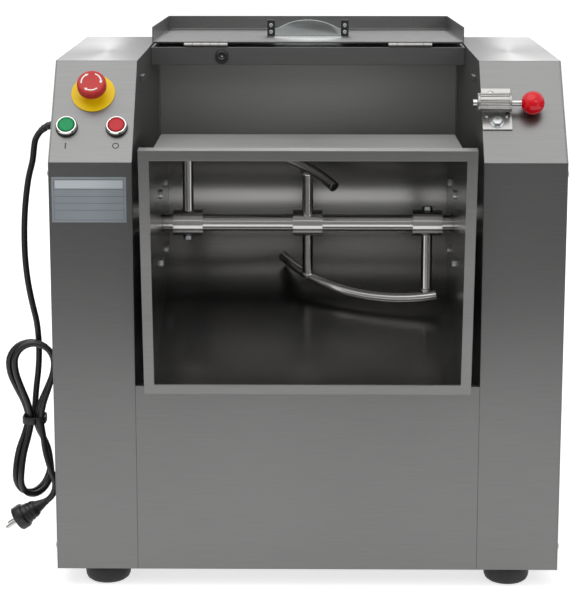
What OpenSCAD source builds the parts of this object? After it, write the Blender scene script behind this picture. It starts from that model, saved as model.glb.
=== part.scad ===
// Tilting dough mixer with a horizontal agitator, millimetres, +Z up.
// Modelled with y = 0 on the front face of the columns, then moved so that
// the origin is the middle of the base of the whole machine.

/* [Housing] */
// Overall width over the side covers
body_w = 700; // [640:5:800]
// Depth of the side columns
body_d = 485; // [460:5:600]
// Height of the column tops above the floor
body_h = 730; // [722:2:790]
// Width of each side column
column_w = 113; // [108:1:135]
// Distance of the control panel's lower bend below the column tops
slope_h = 127; // [115:1:150]
// Horizontal depth of the sloping control panel
slope_d = 105; // [80:1:120]
// Thickness of the folded sheet
sheet_t = 1.5; // [1.2:0.1:2]
// Distance of the front panel's top edge below the bowl's axis
front_panel_drop = 198; // [197:1:215]
// Distance of the deck below the front panel's top edge
deck_drop = 28; // [24:1:40]
// Width of the folds that stiffen and join the sheets
fold_w = 16; // [12:1:22]

/* [Top beam and lid] */
// Distance from the column fronts to the beam's front face
beam_y = 335; // [325:1:350]
// Height of the beam's front face
beam_h = 27; // [22:1:34]
// Depth of the beam
beam_d = 62; // [50:1:80]
// Length of the lid from its hinge edge to its front edge
lid_len = 344; // [320:2:350]
// Height of the lid's folded edges
lid_rim_h = 22; // [16:1:26]
// Clearance between the lid's sides and the columns
lid_side_gap = 2; // [1:0.5:4]
// How far the opened lid droops below level, in degrees
lid_droop = 1.5; // [0:0.5:2]
// Width of the pouring window in the lid
window_w = 104; // [70:2:140]
// Length of the pouring window in the lid
window_l = 58; // [40:2:80]

/* [Bowl] */
// Inner radius of the bowl's trough
bowl_r = 125; // [122:1:128]
// Clearance between the bowl's inner faces and the columns
bowl_side_gap = 28; // [26:1:34]
// Wall thickness of the bowl
bowl_t = 2; // [1.5:0.5:2.5]
// Height of the bowl's mouth above its axis at the back wall
mouth_h = 230; // [215:1:230]
// Slope of the mouth down to the front, in degrees
mouth_slope = 7.65; // [4:0.1:9]
// Flare of the front wall, in degrees
flare = 17.5; // [12:0.1:19]
// Width of the rim's face around the mouth
rim_face = 14; // [10:0.5:14]
// Depth of the rim's folded edge
rim_depth = 15; // [13:0.5:16]
// Distance of the bowl's axis from the column fronts
pivot_y = 168; // [165:1:175]
// Distance of the bowl's axis below the column tops
axis_drop = 240; // [238:1:246]

/* [Agitator] */
// Diameter of the agitator shaft
shaft_d = 25; // [20:1:28]
// Diameter of the collars on the shaft
collar_d = 38; // [34:1:44]
// Length of a collar
collar_l = 42.5; // [30:0.5:50]
// Share of the bowl's half length at which the outer arms stand
outer_arm_share = 0.823; // [0.7:0.001:0.85]
// Diameter of the arms
arm_d = 16; // [12:1:18]
// Diameter of the swept bars
bar_d = 15; // [10:1:16]
// Distance of the swept bars from the axis
bar_reach = 106; // [95:1:108]
// Angle of the middle arms from the outer arms, in degrees
arm_twist = 29; // [22:1:34]

/* [Controls] */
// Diameter of the bezel rings of the two buttons
bezel_d = 29.5; // [26:0.5:32]
// Diameter of the button caps
cap_d = 21; // [16:0.5:22]
// Travel of the two buttons
button_travel = 3; // [2:0.5:4]
// Diameter of the emergency stop's mushroom
mushroom_d = 40; // [34:1:44]
// Diameter of the yellow disc under the emergency stop
disc_d = 60; // [50:1:64]
// Travel of the emergency stop
stop_travel = 5; // [3:0.5:6]

/* [Bowl lock] */
// Diameter of the lock plunger
plunger_d = 15; // [12:0.5:16]
// Travel of the lock plunger
plunger_travel = 12; // [8:1:12]
// Diameter of the ball knob
ball_d = 32; // [25:1:36]

/* [Drive] */
// Pitch of the roller chain
chain_pitch = 12.7; // [12:0.1:13.2]
// Teeth of the sprocket on the agitator shaft
big_teeth = 36; // [32:4:40]
// Teeth of the sprocket on the countershaft
small_teeth = 12; // [12:4:16]
// Number of chain links
chain_links = 60; // [58:2:64]
// Radius of the large belt pulley
big_pulley_r = 70; // [55:1:75]
// Radius of the motor's belt pulley
motor_pulley_r = 28; // [22:1:34]
// Share of the height under the deck that the motor's shell takes
motor_share = 0.54; // [0.46:0.01:0.58]
// Length of the motor's shell
motor_l = 190; // [150:5:210]

/* [Feet and cord] */
// Height of the rubber feet
foot_h = 25; // [18:1:32]
// Diameter of the rubber feet at the floor
foot_d = 64; // [50:1:70]
// Diameter of the mains cord
cord_d = 9; // [7:0.5:10]

/* [Hidden] */
$fn = 64;

// Shared clearances and one overrun for every cut
cut = 1;
seat_gap = 0.3;
running_fit = 0.05;
fine = 96;

// Sheet stainless, bright stainless and plastics as seen
STEEL = "#a8a7a3";
DARK_STEEL = "#777572";
BRIGHT = "#c9c9c6";
BLACK = "#15171a";
GREY_IRON = "#5b5f63";

// Columns
half_w = body_w / 2;
half_gap = half_w - column_w;
bend_z = body_h - slope_h;
pivot_z = body_h - axis_drop;
front_panel_z = pivot_z - front_panel_drop;
deck_z = front_panel_z - deck_drop;
cover_x = half_w - sheet_t;
slope_a = atan2(slope_h, slope_d);
slope_len = norm([slope_d, slope_h]);
base_t = 2;
column_z = foot_h + base_t;
panel_half = half_gap - seat_gap;

// Screws of the side covers
screw_head_d = 9;
screw_head_h = 2.4;
screw_d = 4;
screw_inset = fold_w / 2 + sheet_t;

// A place across the right-hand column, from its inner wall outwards
function column_x(share) = half_gap + column_w * share;

// Feet
foot_inset = 38;
foot_x_share = 0.4115;
foot_x = column_x(foot_x_share);
foot_top_share = 0.82;

// Bowl, worked out upright about its own axis
half_bowl = half_gap - bowl_side_gap;
bowl_len = 2 * half_bowl;
flare_sweep = (bowl_r * (1 + cos(flare)) + mouth_h * sin(flare)) / cos(mouth_slope - flare);
mouth_back = [bowl_r, mouth_h];
mouth_dir = [-cos(mouth_slope), -sin(mouth_slope)];
mouth_up = [-sin(mouth_slope), cos(mouth_slope)];
rim_len = flare_sweep + 2 * rim_face;
rim_half = half_bowl + rim_face;
// The machine is modelled with the bowl tilted by this angle
bowl_tilt = 90;

// Top beam, hinge and lid
knuckle_r = 3.3;
leaf_t = 1.5;
beam_step = 2.5;
beam_top = body_h - beam_step;
hinge_y = beam_y;
hinge_z = beam_top + knuckle_r + seat_gap / 2;
hinge_len = 66;
hinge_x_share = 0.65;
hinge_x = half_gap * hinge_x_share;
leaf_w = 26;
knuckles = 5;
pin_d = 3;
lid_floor = knuckle_r;
lid_start = 2;
lid_half = half_gap - lid_side_gap;
window_from = 93;
guard_h = 25;
guard_t = 3;
post_w = 12;
rest_w = 4;
rest_l = 30;
rest_h = 7;
rest_y = 150;

// Round sensor in the beam's face
sensor_x_share = 0.5485;
sensor_z_share = 0.57;
sensor_x = -half_gap * sensor_x_share;
sensor_z = beam_top - beam_h * sensor_z_share;
sensor_d = 20;
sensor_body_d = 16;
sensor_face = 5;
sensor_l = 34;

back_top = hinge_z + lid_floor - sin(lid_droop) * (body_d - hinge_y) - seat_gap - leaf_t / 2;

// Origin of the whole machine
front_reach = mouth_h + rim_face * sin(mouth_slope) + sheet_t * cos(mouth_slope);
y_front = pivot_y - front_reach;
y_back = hinge_y + lid_len * cos(lid_droop) + (lid_floor + lid_rim_h + sheet_t) * sin(lid_droop);
y_mid = (y_front + y_back) / 2;

// Hubs, bushes and bearings, measured outwards from the middle of the machine
hub_flange_d = 160;
hub_flange_t = 5;
hub_x = half_bowl + bowl_t;
hub_d = 62;
bearing_d = 52;
bearing_w = 15;
seal_w = 7;
hub_out = 15;
hub_end = half_gap + hub_out;
hub_hole_d = 32;
bush_d = 72;
housing_d = 124;
housing_t = 8;
housing_boss_d = 86;
housing_boss = 8;
housing_x = half_gap + sheet_t;
bearing_step = 1;
bearing_x = hub_end - bearing_w - bearing_step;
seal_step = 3;
seal_x = hub_x + hub_flange_t + seal_step;
bolt_m6 = 6;
bolt_m8 = 8;
hub_bolt_pcd = 140;
wall_head_d = 13;
wall_head_h = 4;
housing_bolt_pcd = 106;

// Shaft
shaft_step = 2;
shaft_tail = 20;
sprocket_x_share = 0.46;
shaft_right = hub_end - shaft_step;
sprocket_x = column_x(sprocket_x_share);
shaft_left = sprocket_x + shaft_tail;
arm_root = shaft_d / 2 + seat_gap;
outer_arm_x = half_bowl * outer_arm_share;
shaft_join = outer_arm_x + collar_l / 2;

// Swept bars: overhang past the outer arm, run past the middle arm, the place
// that the bend goes through, twists, and where the middle arm meets the bar
bar_overhang = 14;
bar_tail = 37;
bar_end_twist = -2;
bend_x_share = 0.333;
bend_twist_share = 0.33;
tail_twist_share = 1.78;
mid_reach_share = 0.95;

// Chain drive: both sprockets and the centre distance that the chain sets
big_pitch_r = big_teeth * chain_pitch / (2 * PI);
small_pitch_r = small_teeth * chain_pitch / (2 * PI);
links_over = 2 * chain_links - big_teeth - small_teeth;
teeth_diff = (big_teeth - small_teeth) / PI;
chain_centre = chain_pitch / 8 * (links_over + sqrt(pow(links_over, 2) - 8 * pow(teeth_diff, 2)));
chain_lean = 45;
roller_d = 7.9;
sprocket_t = 7;
link_plate_h = 11;
link_plate_t = 1.4;
link_inner_w = 7.9;
link_gap = seat_gap / 3;
link_waist_share = 0.7;
link_end_share = 0.8;
counter_y = pivot_y + chain_centre * cos(chain_lean);
counter_z = pivot_z - chain_centre * sin(chain_lean);
counter_d = 20;
belt_t = 8;
belt_w = 12;
pulley_w = 16;
pulley_x_share = 0.2566;
pulley_x = column_x(pulley_x_share);
pulley_gap = 8;
pulley_clear = big_pulley_r + belt_t + pulley_gap;
counter_end_share = 0.832;
counter_end = column_x(counter_end_share);
bracket_x_share = 0.6726;
bracket_x = column_x(bracket_x_share);
bracket_t = 4;
bearing_block = 52;
bearing_block_t = 14;
belt_drop_y = 70;
motor_y = counter_y - belt_drop_y;
motor_d = (deck_z - column_z) * motor_share;
motor_foot_share = 0.86;
motor_foot_w = motor_d * motor_foot_share;
motor_foot_h = 12;
motor_z = column_z + motor_d / 2 + motor_foot_h;
motor_gap = 20;
motor_x = motor_gap - half_gap;
motor_shaft_d = 19;
belt_span = [motor_y - counter_y, motor_z - counter_z];
box_size = [70, 62, 170];

// Controls on the sloping panels
stop_x_share = 0.513;
start_x_share = 0.805;
stop_button_x_share = 0.2035;
stop_x = -column_x(stop_x_share);
start_x = -column_x(start_x_share);
stop_button_x = -column_x(stop_button_x_share);
stop_t_share = 0.67;
button_t_share = 0.335;
control_hole_d = 22.5;
bezel_h = 8;
cap_h = 8;
cap_proud = 1;
cap_bottom = bezel_h + cap_proud - cap_h;
contact_block = [28, 34, 30];
stop_neck_d = 28;
stop_neck_h = 7;
mushroom_h = 15;

// Bowl lock
lock_t_share = 0.515;
lock_lift = 17;
lock_reach = 7;
lock_inner_x = half_gap - lock_reach;
barrel_l = 46;
barrel_d = 25;
plunger_head_l = 20;
plunger_nose_d = 10;
nose_gap = 0.5;
lock_rod_d = 8;
barrel_end_t = 4;
lock_plate_w = 40;
lock_plate_l = 66;
lock_plate_t = 2;
lock_block_share = 2 / 3;
upper_bolt_inset = 9;

// Mains cord. Its route is hand-picked: distance from the column's side,
// distance along y from the gland, and share of the fall to the hank's top.
gland_y_share = 0.361;
gland_y = body_d * gland_y_share;
gland_drop = 98;
gland_z = body_h - gland_drop;
gland_d = 22;
gland_l = 6;
relief_d = 14;
relief_points = 5;
route_steps = 3;
cord_sides = 8;
cord_places = [
    [0, 0, 0], [4, 0, 0], [8, 0, 0], [21.8, 0, 0.0086], [33.5, 0, 0.0334], [41.3, 0, 0.0707],
    [44, 0, 0.1146], [46.5, 0, 0.172], [53, -1, 0.255], [58, -3, 0.373], [60, -6, 0.49],
    [59.5, -9, 0.611], [56, -12, 0.726], [50, -15, 0.828], [44, -17, 0.914], [41.5, -18, 1]
];
// Hank: one unbroken tube. It comes down the back of the hank to the waist,
// runs round and round, and leaves at the front for the plug.
hank_out = 55;
hank_x = -half_w - hank_out;
hank_back = 24;
hank_y = gland_y - hank_back;
hank_top = 318;
hank_h = 228;
hank_r = 32.5;
hank_nest = 4.5;
hank_shift = 6;
hank_waist = 6;
hank_pitch = 11;
hank_lean = 50;
hank_turns = 2;
hank_steps = 24;
// The run down to the waist and the tail to the plug, from the column's side,
// from the gland along y, and upwards from the hank's lowest point
drop_places = [[41.5, -18.5, 205], [43, -19.5, 182], [46, -21, 158], [48, -22.5, 136]];
tail_places = [
    [33.7, -50.5, 92], [30.5, -54, 70], [24.9, -59, 51.3], [18.1, -62.5, 32.5],
    [16.3, -63, 22.2], [17.9, -63, 12.4], [22.7, -63, 3.7], [30, -63, -3]
];
plug_lean = 33;
tie_h = 10;
tie_t = 1.6;
tie_gap = 0.5;

// Outline of a column, drawn in (y, z) and set in by t all round
function column_pts(t, z0) = [
    [t, z0],
    [t, bend_z - t * tan((90 - slope_a) / 2)],
    [slope_d + t * tan(slope_a / 2), body_h - t],
    [body_d - t, body_h - t],
    [body_d - t, z0]
];

// A profile drawn in (y, z) and run along x from x0 to x1
module along_x(x0, x1) {
    translate([x0, 0, 0]) rotate([90, 0, 90]) linear_extrude(x1 - x0) children();
}

// A cylinder along x, about the line y = 0, z = 0
module rod_x(d, x0, x1, n = $fn) {
    translate([x0, 0, 0]) rotate([0, 90, 0]) cylinder(d = d, h = x1 - x0, $fn = n);
}

module ring_x(d_out, d_in, x0, x1) {
    difference() {
        rod_x(d_out, x0, x1, fine);
        rod_x(d_in, x0 - cut, x1 + cut, fine);
    }
}

// Copies of the right-hand child on both sides of the machine
module both_sides() {
    children();
    mirror([1, 0, 0]) children();
}

module at_axis() {
    translate([0, pivot_y, pivot_z]) children();
}

module tilted() {
    at_axis() rotate([bowl_tilt, 0, 0]) children();
}

// Frame of a sloping panel: y runs up the slope, z stands off it
module on_slope(x, share) {
    translate([x, 0, bend_z]) rotate([slope_a, 0, 0]) translate([0, slope_len * share, 0]) children();
}

module on_lid() {
    translate([0, hinge_y, hinge_z]) rotate([-lid_droop, 0, 0]) children();
}

// Hexagon head with its shank, the head's seat at z = 0
module hex_bolt(d, l) {
    head_share = 0.65;
    flats_share = 1.9;
    cylinder(d = d * flats_share, h = d * head_share, $fn = 6);
    translate([0, 0, -l]) cylinder(d = d, h = l);
}

// Machine

module base_plate() {
    color(STEEL) difference() {
        translate([-cover_x + fold_w / 2, fold_w / 2, foot_h])
            cube([2 * cover_x - fold_w, body_d - fold_w, base_t]);
        for (x = [-1, 1], y = [foot_inset, body_d - foot_inset])
            translate([x * foot_x, y, foot_h - cut]) cylinder(d = bolt_m8, h = base_t + 2 * cut);
    }
}

module feet() {
    color(BLACK) for (x = [-1, 1], y = [foot_inset, body_d - foot_inset])
        translate([x * foot_x, y, 0]) {
            cylinder(d1 = foot_d, d2 = foot_d * foot_top_share, h = foot_h, $fn = fine);
            translate([0, 0, foot_h]) cylinder(d = bolt_m8, h = base_t + bolt_m8);
        }
}

// Right-hand column: front, slope, top, back and inner wall in one folded sheet
module column() {
    difference() {
        along_x(half_gap, cover_x) polygon(column_pts(0, column_z));
        along_x(half_gap + sheet_t, cover_x - sheet_t)
            polygon(column_pts(sheet_t, column_z - cut));
        along_x(half_gap + sheet_t, cover_x + cut)
            polygon(column_pts(fold_w, column_z - cut));
        translate([0, pivot_y, pivot_z]) rod_x(bush_d + seat_gap, half_gap - cut, half_gap + 2 * cut, fine);
    }
}

module left_column() {
    color(STEEL) difference() {
        mirror([1, 0, 0]) column();
        for (x = [start_x, stop_button_x])
            on_slope(x, button_t_share) translate([0, 0, -fold_w])
                cylinder(d = control_hole_d, h = 2 * fold_w);
        on_slope(stop_x, stop_t_share) translate([0, 0, -fold_w])
            cylinder(d = control_hole_d, h = 2 * fold_w);
        translate([0, motor_y, motor_z])
            rod_x(motor_shaft_d + fold_w, -half_gap - 2 * cut, cut - half_gap);
    }
}

module right_column() {
    color(STEEL) column();
}

module side_cover() {
    difference() {
        along_x(cover_x, half_w) polygon(column_pts(0, column_z));
        for (p = cover_screw_places())
            translate([0, p.x, p.y]) rod_x(screw_d + seat_gap, cover_x - cut, half_w + cut);
    }
}

function cover_screw_places() = [
    [screw_inset, column_z + 2 * fold_w], [screw_inset, bend_z - fold_w],
    [slope_d + fold_w, body_h - screw_inset], [body_d - 2 * fold_w, body_h - screw_inset],
    [body_d - screw_inset, column_z + 2 * fold_w]
];

module left_side_cover() {
    color(STEEL) mirror([1, 0, 0]) side_cover();
}

module right_side_cover() {
    color(STEEL) side_cover();
}

module side_cover_screws() {
    color(BRIGHT) both_sides() for (p = cover_screw_places())
        translate([0, p.x, p.y]) {
            rod_x(screw_head_d, half_w, half_w + screw_head_h);
            rod_x(screw_d, cover_x, half_w);
        }
}

// Front panel with its top folded back and a fold down each side
module front_panel() {
    color(DARK_STEEL) {
        translate([-panel_half, 0, column_z]) cube([2 * panel_half, sheet_t, front_panel_z - column_z]);
        translate([-panel_half, sheet_t, front_panel_z - sheet_t]) cube([2 * panel_half, fold_w, sheet_t]);
        both_sides() translate([panel_half - sheet_t, sheet_t, column_z])
            cube([sheet_t, fold_w, front_panel_z - sheet_t - column_z]);
    }
}

module back_panel() {
    color(DARK_STEEL) {
        translate([-panel_half, body_d - sheet_t, column_z])
            cube([2 * panel_half, sheet_t, back_top - column_z]);
        translate([-panel_half, body_d - sheet_t - fold_w, back_top - sheet_t])
            cube([2 * panel_half, fold_w, sheet_t]);
        both_sides() translate([panel_half - sheet_t, body_d - sheet_t - fold_w, column_z])
            cube([sheet_t, fold_w, back_top - sheet_t - column_z]);
    }
}

// Deck over the drive space, with its front and back edges folded down
module deck() {
    color(DARK_STEEL) {
        translate([-panel_half, fold_w + 2 * sheet_t, deck_z - sheet_t])
            cube([2 * panel_half, body_d - 2 * fold_w - 4 * sheet_t, sheet_t]);
        for (y = [fold_w + 2 * sheet_t, body_d - fold_w - 3 * sheet_t])
            translate([-panel_half, y, deck_z - sheet_t - fold_w]) cube([2 * panel_half, sheet_t, fold_w]);
    }
}

// Folded channel between the columns, open underneath
module top_beam() {
    color(STEEL) difference() {
        translate([-panel_half, beam_y, beam_top - beam_h]) cube([2 * panel_half, beam_d, beam_h]);
        translate([-panel_half - cut, beam_y + sheet_t, beam_top - beam_h - cut])
            cube([2 * panel_half + 2 * cut, beam_d - 2 * sheet_t, beam_h + cut - sheet_t]);
        translate([sensor_x, beam_y - cut, sensor_z]) rotate([-90, 0, 0])
            cylinder(d = sensor_body_d + seat_gap, h = 3 * cut);
    }
}

module lid_sensor() {
    color(BLACK) translate([sensor_x, beam_y, sensor_z]) rotate([90, 0, 0]) {
        difference() {
            cylinder(d = sensor_d, h = sensor_face);
            translate([0, 0, sensor_face / 2]) cylinder(d = sensor_d / 3, h = sensor_face);
        }
        translate([0, 0, -sensor_l]) cylinder(d = sensor_body_d, h = sensor_l);
    }
}

// Small tabs that carry the closed lid's side folds
module lid_rests() {
    color(STEEL) both_sides()
        translate([half_gap - rest_w, rest_y, hinge_z - lid_floor - lid_rim_h - leaf_t - seat_gap - rest_h])
            cube([rest_w, rest_l, rest_h]);
}

// Bowl carriers

module trunnion_housings() {
    color(GREY_IRON) both_sides() at_axis() difference() {
        union() {
            rod_x(housing_d, housing_x, housing_x + housing_t, fine);
            rod_x(housing_boss_d, housing_x, housing_x + housing_t + housing_boss, fine);
        }
        rod_x(bush_d, housing_x - cut, housing_x + housing_t + housing_boss + cut, fine);
        ring_of(4, housing_bolt_pcd) rod_x(bolt_m8, housing_x - cut, housing_x + housing_t + cut);
    }
}

// Copies spaced evenly round the x axis
module ring_of(n, pcd) {
    for (i = [0:n - 1]) rotate([360 / n * (i + 1 / 2), 0, 0]) translate([0, 0, pcd / 2]) children();
}

module trunnion_bushes() {
    color("#b08d57") both_sides() at_axis()
        ring_x(bush_d, hub_d + 2 * running_fit, housing_x, housing_x + housing_t + housing_boss);
}

module housing_bolts() {
    color(BRIGHT) both_sides() at_axis() ring_of(4, housing_bolt_pcd)
        translate([housing_x + housing_t, 0, 0]) rotate([0, 90, 0]) hex_bolt(bolt_m8, housing_t);
}

// Bowl

module bowl_section(extra) {
    r = bowl_r + extra;
    far = 2 * mouth_h;
    circle(r = r, $fn = fine);
    polygon([
        [0, 0], [r, 0], [r, far],
        r * [-cos(flare), -sin(flare)] + far * [-sin(flare), cos(flare)],
        r * [-cos(flare), -sin(flare)]
    ]);
}

// Everything above the sloping mouth, raised by lift
module above_mouth(lift) {
    base = mouth_back + lift * mouth_up;
    far = 3 * mouth_h;
    polygon([
        base - far * mouth_dir, base + far * mouth_dir,
        base + far * mouth_dir + far * mouth_up, base - far * mouth_dir + far * mouth_up
    ]);
}

module bowl_shell() {
    color(DARK_STEEL) tilted() difference() {
        along_x(-half_bowl - bowl_t, half_bowl + bowl_t) difference() {
            bowl_section(bowl_t);
            above_mouth(0);
        }
        along_x(-half_bowl, half_bowl) bowl_section(0);
        rod_x(hub_hole_d, -half_bowl - 2 * bowl_t, half_bowl + 2 * bowl_t);
    }
}

// Rim: a flat face round the mouth and a fold back from its outer edge
module bowl_rim() {
    color(BRIGHT) tilted() translate([0, mouth_back.x, mouth_back.y]) rotate([mouth_slope, 0, 0])
        translate([0, -flare_sweep / 2, 0]) difference() {
            translate([-rim_half, -rim_len / 2, sheet_t - rim_depth])
                cube([2 * rim_half, rim_len, rim_depth]);
            translate([-rim_half + sheet_t, sheet_t - rim_len / 2, -rim_depth])
                cube([2 * rim_half - 2 * sheet_t, rim_len - 2 * sheet_t, rim_depth]);
            translate([-half_bowl, -flare_sweep / 2, -cut])
                cube([bowl_len, flare_sweep, sheet_t + 2 * cut]);
            translate([0, lock_on_rim, lock_under_mouth])
                rod_x(plunger_nose_d + 2 * nose_gap, rim_half - rim_face / 2, rim_half + cut);
        }
}

// Where the lock plunger meets the rim once the bowl stands upright
lock_point = [
    slope_len * lock_t_share * cos(slope_a) - lock_lift * sin(slope_a) - pivot_y,
    bend_z + slope_len * lock_t_share * sin(slope_a) + lock_lift * cos(slope_a) - pivot_z
];
lock_on_rim = flare_sweep / 2 + (mouth_back - lock_point) * mouth_dir;
lock_under_mouth = (lock_point - mouth_back) * mouth_up;

module bowl_hubs() {
    color(BRIGHT) both_sides() tilted() difference() {
        union() {
            rod_x(hub_flange_d, hub_x, hub_x + hub_flange_t, fine);
            rod_x(hub_d, hub_x, hub_end, fine);
        }
        rod_x(hub_hole_d, hub_x - cut, hub_end + cut);
        rod_x(bearing_d, seal_x, hub_end + cut, fine);
        ring_of(4, hub_bolt_pcd) rod_x(bolt_m6, hub_x - cut, hub_x + hub_flange_t + cut);
    }
}

// Bolts that hold the hubs, with a round head on the inner side of the bowl's wall
module hub_bolts() {
    color(BRIGHT) both_sides() tilted() ring_of(4, hub_bolt_pcd) {
        translate([hub_x + hub_flange_t, 0, 0]) rotate([0, 90, 0]) hex_bolt(bolt_m6, hub_flange_t);
        rod_x(wall_head_d, half_bowl - wall_head_h, half_bowl);
    }
}

module hub_bearings() {
    color(BRIGHT) both_sides() tilted()
        ring_x(bearing_d, shaft_d + 2 * running_fit, bearing_x, bearing_x + bearing_w);
}

module hub_seals() {
    color(BLACK) both_sides() tilted()
        ring_x(bearing_d, shaft_d + 2 * running_fit, seal_x, seal_x + seal_w);
}

// Agitator

module agitator_shaft() {
    color(BRIGHT) at_axis() rod_x(shaft_d, -shaft_join, shaft_join, fine);
}

// Journals that carry the shaft in the hubs, the left one on to the sprocket
module shaft_journals() {
    color(BRIGHT) at_axis() {
        rod_x(shaft_d, -shaft_left, -shaft_join, fine);
        rod_x(shaft_d, shaft_join, shaft_right, fine);
    }
}

module shaft_collars() {
    color(BRIGHT) at_axis() for (i = [-1:1]) difference() {
        rod_x(collar_d, i * outer_arm_x - collar_l / 2, i * outer_arm_x + collar_l / 2, fine);
        rod_x(shaft_d, i * outer_arm_x - collar_l, i * outer_arm_x + collar_l, fine);
        for (a = collar_arm_angles(i))
            translate([i * outer_arm_x, 0, 0]) rotate([a, 0, 0])
                cylinder(d = arm_d + 2 * running_fit, h = collar_d);
        translate([i * outer_arm_x, 0, 0]) rotate([collar_bolt_angle(i), 0, 0])
            cylinder(d = bolt_m8, h = collar_d);
    }
}

// Angles about x from straight up, positive towards the back
function collar_arm_angles(i) =
    i < 0 ? [0] : i > 0 ? [180] : [arm_twist, 180 + arm_twist];
function collar_bolt_angle(i) = i < 0 ? 180 : i > 0 ? 0 : arm_twist - 90;

module collar_bolts() {
    color(BRIGHT) at_axis() for (i = [-1:1])
        translate([i * outer_arm_x, 0, 0]) rotate([collar_bolt_angle(i), 0, 0])
            translate([0, 0, collar_d / 2]) hex_bolt(bolt_m8, (collar_d - shaft_d) / 2 - seat_gap);
}

// A round bar bent along the arc through three points
module arc_bar(p, q, s, d) {
    a = q - p;
    b = s - p;
    n = cross(a, b);
    centre = p + cross(a * a * b - b * b * a, n) / (2 * n * n);
    r = norm(p - centre);
    ex = (p - centre) / r;
    ez = n / norm(n);
    ey = cross(ez, ex);
    sweep = atan2((s - centre) * ey, (s - centre) * ex);
    multmatrix([
        [ex.x, ey.x, ez.x, centre.x], [ex.y, ey.y, ez.y, centre.y],
        [ex.z, ey.z, ez.z, centre.z], [0, 0, 0, 1]
    ]) rotate_extrude(angle = sweep, $fn = fine) translate([r, 0]) circle(d = d, $fn = 32);
}

// A point on the blade's sweep, a degrees round from straight down
function blade_point(x, a) = [x, bar_reach * sin(a), -bar_reach * cos(a)];

// Two arms and the swept bar that is welded across their ends
module agitator_blade() {
    color(BRIGHT) {
        arc_bar(
            blade_point(outer_arm_x + bar_overhang, bar_end_twist),
            blade_point(outer_arm_x * bend_x_share, arm_twist * bend_twist_share),
            blade_point(-bar_tail, arm_twist * tail_twist_share),
            bar_d
        );
        translate([outer_arm_x, 0, 0]) rotate([180, 0, 0])
            translate([0, 0, arm_root]) cylinder(d = arm_d, h = bar_reach - arm_root);
        rotate([180 + arm_twist, 0, 0])
            translate([0, 0, arm_root]) cylinder(d = arm_d, h = bar_reach * mid_reach_share - arm_root);
    }
}

module agitator_blade_a() {
    at_axis() agitator_blade();
}

module agitator_blade_b() {
    at_axis() rotate([0, 180, 0]) mirror([0, 1, 0]) agitator_blade();
}

// Drive

// Outline of a sprocket, one tooth gap at angle 0
module sprocket_outline(teeth) {
    r = teeth * chain_pitch / (2 * PI);
    difference() {
        circle(r = r + roller_d / 4, $fn = fine);
        for (i = [0:teeth - 1]) rotate(360 / teeth * i) translate([r, 0])
            circle(d = roller_d + 2 * seat_gap, $fn = 24);
    }
}

// Angle from the large sprocket's centre to the small one's, in (y, z)
drive_a = -chain_lean;
wrap_a = acos((big_pitch_r - small_pitch_r) / chain_centre);
span_l = sqrt(pow(chain_centre, 2) - pow(big_pitch_r - small_pitch_r, 2));
big_arc = big_pitch_r * (360 - 2 * wrap_a) * PI / 180;
small_arc = small_pitch_r * 2 * wrap_a * PI / 180;
small_phase = (big_arc + span_l) / chain_pitch;

function polar(r, a) = r * [cos(a), sin(a)];
function rad(a) = a * 180 / PI;

// Point and heading of the chain at distance s along it, from the large
// sprocket's centre, the way a long belt runs round two wheels
function chain_at(s) =
    s < big_arc ?
        let (a = drive_a + wrap_a + rad(s / big_pitch_r)) [polar(big_pitch_r, a), a + 90] :
    s < big_arc + span_l ?
        let (a = drive_a - wrap_a) [polar(big_pitch_r, a) + polar(s - big_arc, a + 90), a + 90] :
    s < big_arc + span_l + small_arc ?
        let (a = drive_a - wrap_a + rad((s - big_arc - span_l) / small_pitch_r))
        [polar(chain_centre, drive_a) + polar(small_pitch_r, a), a + 90] :
        let (a = drive_a + wrap_a)
        [polar(chain_centre, drive_a) + polar(small_pitch_r, a)
            + polar(s - big_arc - span_l - small_arc, a + 90), a + 90];

chain_len = big_arc + small_arc + 2 * span_l;

module agitator_sprocket() {
    color(GREY_IRON) at_axis() difference() {
        union() {
            along_x(-sprocket_x - sprocket_t / 2, sprocket_t / 2 - sprocket_x)
                rotate(drive_a + wrap_a) sprocket_outline(big_teeth);
            rod_x(2 * shaft_d, -sprocket_x - sprocket_t / 2, sprocket_t * 2 - sprocket_x);
        }
        rod_x(shaft_d, -sprocket_x - sprocket_t, 3 * sprocket_t - sprocket_x, fine);
    }
}

module at_counter() {
    translate([0, counter_y, counter_z]) children();
}

module countershaft_sprocket() {
    color(GREY_IRON) at_counter() difference() {
        along_x(-sprocket_x - sprocket_t / 2, sprocket_t / 2 - sprocket_x)
            rotate(drive_a - wrap_a - 360 / small_teeth * small_phase) sprocket_outline(small_teeth);
        rod_x(counter_d, -sprocket_x - sprocket_t, sprocket_t - sprocket_x);
    }
}

// How far past its tangent point a roller still meets a sprocket's teeth
mesh_h = roller_d / 4 + roller_d / 2 + seat_gap;
function mesh_reach(r) = sqrt(2 * r * mesh_h + mesh_h * mesh_h);

// Whether the chain lies in a sprocket's teeth at distance s along it
function in_mesh(s) =
    let (a = big_arc + span_l, big = mesh_reach(big_pitch_r), small = mesh_reach(small_pitch_r))
    s < big_arc + big || (s > a - small && s < a + small_arc + small) || s > chain_len - big;

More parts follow.
